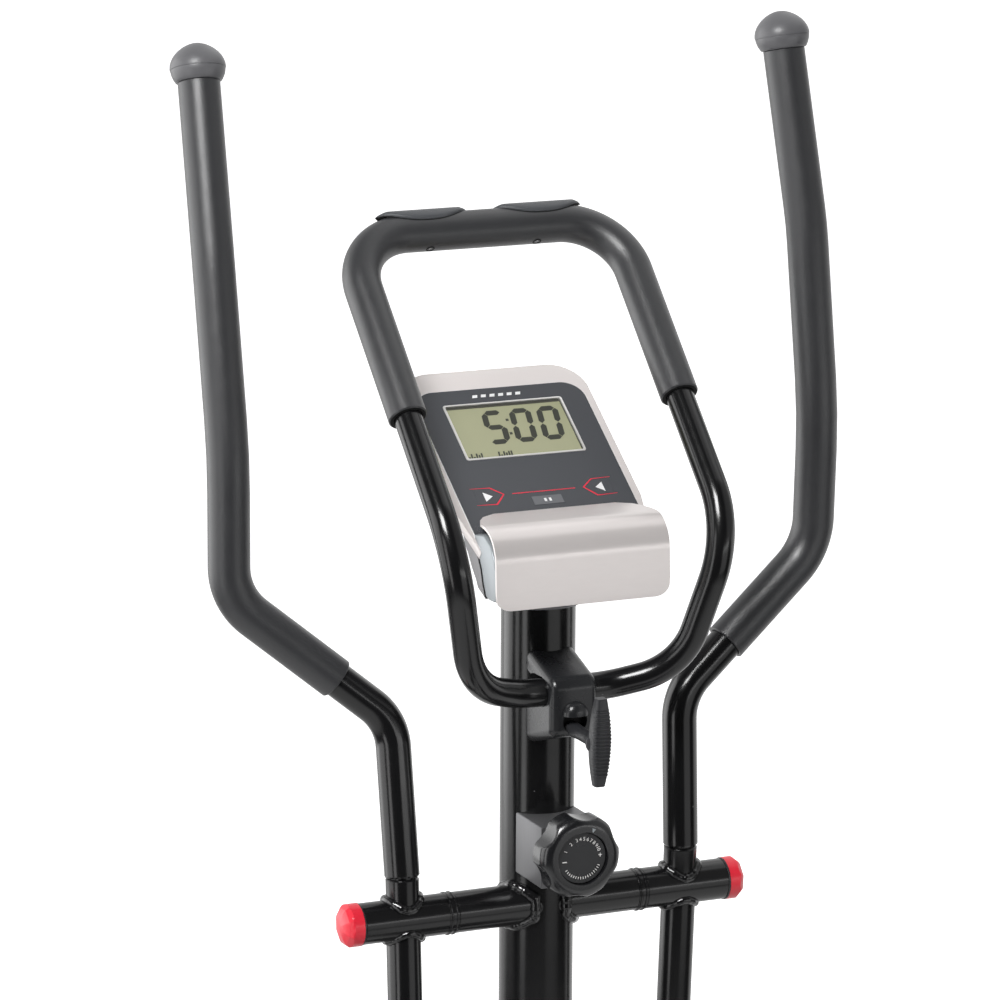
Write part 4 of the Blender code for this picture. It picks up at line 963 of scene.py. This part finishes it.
def tapered_back():
    """The rear housing: a rounded box drawn in towards the back."""
    mesh = bmesh.new()
    rings = []
    for depth, scale in ((-10.2, 0.99), (-10.6, 1.0), (-24.3, 0.94), (-54.0, 0.72), (-58.5, 0.68),
            (-60.0, 0.63)):
        rings.append([mesh.verts.new((a * scale, -62 + (b + 62) * (0.4 + 0.6 * scale), depth))
                      for a, b in rounded(-77, 77, -160, 36, 26, 10)])
    return loft(mesh, rings, capped=True)


def build_lip():
    """The book rest: a level shelf that rolls over into the front."""
    line = [(-31.0, 347.5), (-38.0, 347.2), (-46.0, 346.7), (-54.0, 346.2)]
    for step in range(19):
        angle = radians(92.0 + 88.0 * step / 18.0)
        line.append((-62.0 + 28.0 * cos(angle), 317.7 + 28.3 * sin(angle)))
    line += [(-90.4, 309), (-90.8, 301), (-91.1, 294), (-91.3, 288), (-91.4, 285), (-91.5, 282.6),
        (-91.5, 281.0), (-91.5, 279.7), (-91.5, 279.0)]
    run = [0.0]
    for first, second in zip(line, line[1:]):
        run.append(run[-1] + hypot(second[0] - first[0], second[1] - first[1]))

    def corner(radius, distance):
        """How far a round corner draws the edge in, at a distance from the end."""
        return radius - sqrt(max(radius ** 2 - (radius - min(distance, radius)) ** 2, 0.0))

    mesh = bmesh.new()
    columns = 40
    surfaces = []
    for drop in (0.0, 2.4):
        grid = []
        for index, (ahead, up) in enumerate(line):
            back = min(max((ahead + 62.0) / 34.0, 0.0), 1.0)
            low = min(max((293.0 - up) / 15.0, 0.0), 1.0)
            half = 79.0 - 21.0 * back ** 2 - 4.0 * low ** 2
            half -= corner(9.0, run[-1] - run[index]) + 0.6 * corner(10.0, run[index])
            before, after = line[max(index - 1, 0)], line[min(index + 1, len(line) - 1)]
            way = Vector((after[0] - before[0], after[1] - before[1])).normalized() * drop
            grid.append([mesh.verts.new((half * (2.0 * column / columns - 1.0), ahead - way.y, up + way.x))
                         for column in range(columns + 1)])
        surfaces.append(grid)
    piece("console_book_rest", close_grids(mesh, *surfaces), UPPER, BRUSHED, "console_lip", smooth=40)
    # Painted shade: the nose carries on the console face under the book rest, in a darker, bluer grey than the
    # face's silver for the shade the rest throws on it.
    cheek = [(-44, 334.5), (-62, 337), (-75, 331.5), (-84, 320), (-87.4, 306), (-88, 288), (-84, 286),
        (-74, 285.6), (-67.4, 287.4), (-62.7, 296.6), (-58.5, 308.4), (-52.4, 318.6), (-44, 324)]
    piece("console_nose", plate(cheek, "X", -78.4, 78.4, 1.0), UPPER, POINTER_GREY_AND_NOSE_SHADE)
    # Painted shadow: a dark strip along the seam round the nose.
    seam = [(-67.2, 286.9), (-62.5, 296.3), (-58.3, 308.1), (-52.2, 318.2), (-38, 326.9), (-15, 341.4),
        (-14.4, 340.2), (-37.3, 325.8), (-51.3, 317.2), (-57.3, 307.6), (-61.5, 295.8), (-66.2, 286.6)]
    piece("console_seam_shadow", plate(seam, "X", -78.8, 78.8), UPPER, PAINTED_SHADE)
    rim = [(-15.3, 339.0), (-23.8, 321.5), (-30.1, 316), (-38.5, 305.1), (-46.9, 296.8), (-51.1, 290.9),
        (-59.3, 287.7), (-66.4, 284.8), (-66.0, 286.3), (-61.3, 295.6), (-57.1, 307.4), (-51.1, 317),
        (-37.2, 325.5)]
    piece("console_shell_rim", plate(rim, "X", -78.4, 78.4, 0.6), UPPER, LILAC)


# Base, casing and drive

def build_base():
    for name, y, half in (("front", 85.0, 205.0), ("rear", -897.0, 240.0)):
        bar = turned([(-half, 23), (-half, 25), (half, 25), (half, 23)], (0, y, 30.5), (1, 0, 0), 72)
        piece(name + "_cross_foot", bar, POST, ENAMEL, name + "_stabiliser")
        for side, word in SIDES:
            build_foot(name, side, y, half, ("front_end_cap_" if name == "front" else "rear_foot_cap_") + word)
    tread = [(0, 5.3), (0, 12), (1.5, 12.4), (1.5, 19.4), (0, 20), (0.6, 22.6), (2.4, 24), (19.6, 24),
        (21.4, 22.6), (22, 20), (20.5, 19.4), (20.5, 12.4), (22, 12), (22, 5.3)]
    for side, word in SIDES:
        tyre = turned([(188 + along, radius) for along, radius in tread], (0, 145, 30), (side, 0, 0), 72)
        piece("roller_" + word, tyre, POST, RUBBER, "transport_wheel_" + word, "wheel_" + word, smooth=28)


def build_plugs():
    """Plastic plugs in both ends of the spine."""
    plugs = []
    for low, high, inner, outer in ((112.1, 114.8, 100, 113), (-927.8, -925.1, -926, -912)):
        plugs.append(plate(rounded(-20, 20, 56, 116, 6), "Y", low, high, 0.8))
        plugs.append(box((-17.7, inner, 58.4), (17.7, outer, 113.6), 1.0))
    piece("spine_plugs", joined(*plugs), POST, BLACK)


def build_foot(name, side, y, half, node):
    inner = half - 28.0
    cap = [(-28, 25.3), (-28, 30.6), (-27.2, 31.6), (-25, 32), (-22, 32), (-21, 31.2), (-19, 31.2), (-18, 32),
        (17, 32), (21, 31.2), (25, 28.6), (28.5, 23.5), (29.8, 18), (30, 12), (30, 0), (0.3, 0), (0.3, 25.3)]
    foot = turned([(half + along, radius) for along, radius in cap], (0, y, 30.5), (side, 0, 0), 72)
    parts = [carved(foot, box((-400, y - 60, -40), (400, y + 90, 0.0)))]
    if name == "front":
        low, high = span(side * (inner + 3), side * (inner + 10))
        parts.append(plate(rounded(y + 27, y + 69, 18, 42, 9, 8), "X", low, high, 1.2))
        parts.append(rod((side * (inner + 6), y + 60, 30), (side * (inner + 38), y + 60, 30), 5))
    piece("foot_" + node, joined(*parts), POST, BLACK, node)


def build_casing():
    def outline(grow):
        return hull([(CRANK_Y, CRANK_Z, 158 + grow), (FLYWHEEL_Y, FLYWHEEL_Z, 124 + grow),
            (CRANK_Y + 60, 130, 34 + grow), (FLYWHEEL_Y - 60, 130, 34 + grow)], 144)

    for side, word in SIDES:
        def slab(shape, low, high, edge=0.0, steps=4):
            return plate(shape, "X", *span(low * side, high * side), edge, steps)

        low, high = span(-0.15 * side, -100 * side)
        shell = carved(slab(outline(0), -16, 65, 13, 7), slab(outline(-3), -40, 62, 11),
            box((low, -1300, -10), (high, 0, 700)), box((-20.3, -1200, 0), (20.3, 0, 116.3)),
            box((-48, FLYWHEEL_Y - 26, 60), (48, FLYWHEEL_Y + 26, 122)),
            rod((side * 40, CRANK_Y, CRANK_Z), (side * 90, CRANK_Y, CRANK_Z), 16, 64))
        piece("drive_cover_" + word, shell, POST, CASING, "casing_" + word, smooth=30)
        disc = turned([(64.6, 17), (64.6, 118), (65.4, 119.5), (66.2, 119), (66.6, 117.5), (66.6, 112),
            (65.7, 110.6), (65.7, 48), (66.4, 46.5), (66.8, 45), (66.8, 21), (66.0, 18.4), (65.0, 17)],
            (0, CRANK_Y, CRANK_Z), (side, 0, 0), 128)
        piece("cover_disc_" + word, disc, POST, SATIN, smooth=25)
        # Painted shade: dark strips stand for the shaded insides of the vent slots.
        slots = []
        for row in range(7):
            along, rise = FLYWHEEL_Y - 62 + 6.0 * row, FLYWHEEL_Z - 34 + 11.0 * row
            slots.append(slab(rounded(along - 24, along + 24, rise - 1.7, rise + 1.7, 1.6, 4), 64.7, 65.35))
        piece("cover_vent_shadows_" + word, joined(*slots), POST, PAINTED_SHADE)
        screw = [(64.5, 0), (64.5, 6.4), (65.3, 6.2), (65.4, 4.6), (64.9, 4.2), (65.2, 2.2), (64.9, 1.2),
            (64.9, 0)]
        spots = ((CRANK_Y + 66, 118), (FLYWHEEL_Y - 66, 118), (-740, 118), (-770, 400), (FLYWHEEL_Y - 84, 305))
        screws = [turned(screw, (0, y, z), (side, 0, 0), 32) for y, z in spots]
        piece("cover_screws_" + word, joined(*screws), POST, STEEL)


def build_crank():
    place = POST @ move(0, CRANK_Y, CRANK_Z)
    piece("crank_shaft", rod((-98, 0, 0), (98, 0, 0), 10, 56, 1.0), place, STEEL, "crank_axle", "crank")
    swing = radians(SWING_REST)
    tilt = radians(BAR_TILT[-1])
    across = PIVOT_Y - ARM_LOWER * sin(swing) - BAR_LENGTH * cos(tilt) - CRANK_Y
    up = PIVOT_Z - ARM_LOWER * cos(swing) + BAR_LENGTH * sin(tilt) - CRANK_Z
    for side, word in SIDES:
        shape = hull([(0, 0, 19.0), (-side * across, -side * up, 15.0)], 96)
        arm = carved(plate(shape, "X", *span(side * 74, side * 86), 1.8, 4),
            rod((side * 60, 0, 0), (side * 110, 0, 0), 10.3, 64))
        piece("crank_lever_" + word, arm, place, FRAME_PAINT, "crank_arm_" + word, "crank", smooth=30)
        nut = plate(HEXAGON, "X", *span(side * 86.2, side * 93.0), 0.8)
        piece("crank_nut_" + word, nut, place, STEEL, body="crank")


PLAIN = {"main_frame": FRAME_PAINT, "drive_pulley": BLACK, "flywheel": IRON, "flywheel_axle": STEEL,
         "drive_belt": RUBBER, "magnet_bracket": STEEL, "tension_cable": BLACK}


def dress_nodes():
    """Give the CAD nodes that stay visible their finishes."""
    for name, surface in PLAIN.items():
        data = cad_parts[name].data
        data.materials.clear()
        data.materials.append(surface)


# Studio

def area_light(name, spot, target, width, height, power):
    data = bpy.data.lights.new(name, "AREA")
    data.shape = "RECTANGLE"
    data.size = width
    data.size_y = height
    data.energy = power
    made = show(name, data)
    made.location = spot
    made.rotation_mode = "QUATERNION"
    made.rotation_quaternion = (Vector(target) - Vector(spot)).to_track_quat("-Z", "Y")
    made.visible_camera = False


def by_ray(tree, others, camera, output, socket):
    """Use one shader for camera rays and another for all other rays."""
    mix = add(tree, "ShaderNodeMixShader")
    sources = (add(tree, "ShaderNodeLightPath").outputs["Is Camera Ray"], others.outputs[0], camera.outputs[0])
    for source, target in zip(sources, mix.inputs):
        tree.links.new(source, target)
    tree.links.new(mix.outputs[0], output.inputs[socket])


def build_world():
    world = bpy.data.worlds.new("studio")
    bpy.context.scene.world = world
    world.use_nodes = True
    tree = world.node_tree
    tree.nodes.clear()
    split = add(tree, "ShaderNodeSeparateXYZ")
    tree.links.new(add(tree, "ShaderNodeTexCoord").outputs["Generated"], split.inputs[0])
    back = ramp(tree, split.outputs["Y"], 0.0, 0.5, 0.03, 1.0)
    lid = ramp(tree, split.outputs["Z"], 0.5, 0.95, 1.0, 0.3)
    right = ramp(tree, split.outputs["X"], 0.3, 0.6, 0.0, 0.5)
    soft = add(tree, "ShaderNodeBackground")
    tree.links.new(combine(tree, "ADD", combine(tree, "MULTIPLY", back, lid), right), soft.inputs["Strength"])
    plain = add(tree, "ShaderNodeBackground", Strength=1.0, Color=(1, 1, 1, 1))
    by_ray(tree, soft, plain, add(tree, "ShaderNodeOutputWorld"), "Surface")


def floor_finish():
    """A pale floor that lights the machine from close below and from behind, and is dim in front."""
    made, tree, shader = new_material("pale_floor")
    shader.inputs["Base Color"].default_value = (0.9, 0.9, 0.9, 1)
    shader.inputs["Roughness"].default_value = 0.9
    shader.inputs["Emission Color"].default_value = (1, 1, 1, 1)
    place = add(tree, "ShaderNodeTexCoord").outputs["Object"]
    apart = add(tree, "ShaderNodeVectorMath", operation="LENGTH")
    ahead = add(tree, "ShaderNodeVectorMath", operation="DOT_PRODUCT")
    for node in (apart, ahead):
        tree.links.new(place, node.inputs[0])
    ahead.inputs[1].default_value = (0.407, 0.914, 0.0)
    tree.links.new(ramp(tree, ahead.outputs["Value"], 0.3, 1.8, 0.5, 1.0), shader.inputs["Emission Strength"])
    near = ramp(tree, apart.outputs["Value"], 1.2, 2.2, 0.8, 0.02)
    behind = ramp(tree, ahead.outputs["Value"], 0.7, 1.6, 0.0, 1.0)
    glow = add(tree, "ShaderNodeEmission")
    tree.links.new(combine(tree, "MAXIMUM", near, behind), glow.inputs["Strength"])
    by_ray(tree, glow, shader, tree.nodes["Material Output"], "Surface")
    return made


def build_studio():
    build_world()
    mesh = bmesh.new()
    bmesh.ops.create_grid(mesh, x_segments=1, y_segments=1, size=40.0)
    data = bpy.data.meshes.new("studio_floor")
    mesh.to_mesh(data)
    mesh.free()
    data.materials.append(floor_finish())
    floor = show("studio_floor", data)
    for light in (("key", (-1.55, -1.2, 3.35), (0.0, 0.45, 1.2), 1.1, 1.1, 96),
        ("left_box", (-2.275, 1.66, 1.35), (0.0, 0.4, 1.2), 3.6, 2.6, 54),
        ("top_box", (0.85, 0.7, 3.1), (0.0, 0.35, 1.2), 1.9, 1.9, 8),
        ("front_strip", (1.15, -1.95, 1.17), (0.0, 0.4, 1.1), 1.9, 0.22, 4),
        ("left_strip", (-2.3, -0.65, 1.0), (0.0, 0.4, 1.0), 0.7, 2.0, 9.5),
        ("front_low", (1.15, -1.95, 0.52), (0.0, 0.4, 0.8), 1.9, 1.0, 4.2)):
        area_light(*light)


def build_camera():
    """The photographer's view: turned, tipped down and rolled a little, in degrees."""
    turn, drop, roll = radians(24.0), radians(12.8), radians(0.34)
    distance = 4.25
    ahead = Vector((sin(turn) * cos(drop), cos(turn) * cos(drop), -sin(drop)))
    across = Vector((cos(turn), -sin(turn), 0.0))
    up = across.cross(ahead)
    axes = (across * cos(roll) + up * sin(roll), up * cos(roll) - across * sin(roll), -ahead)
    target = Vector((-0.036, POST_Y * MM, (PIVOT_Z + 351.0) * MM))
    data = bpy.data.cameras.new("camera")
    data.sensor_width = 36.0
    data.lens = 182.8
    made = show("camera", data)
    made.matrix_world = Matrix.Translation(target - ahead * distance) @ Matrix(axes).transposed().to_4x4()
    bpy.context.scene.camera = made


build_post()
for side, word in SIDES:
    build_arm(side, word)
    build_pedal(side, word)
build_loop()
build_clamp()
build_tension()
build_console()
build_base()
build_plugs()
build_casing()
build_crank()
dress_nodes()
build_studio()
build_camera()
bpy.context.scene.view_settings.view_transform = "Standard"
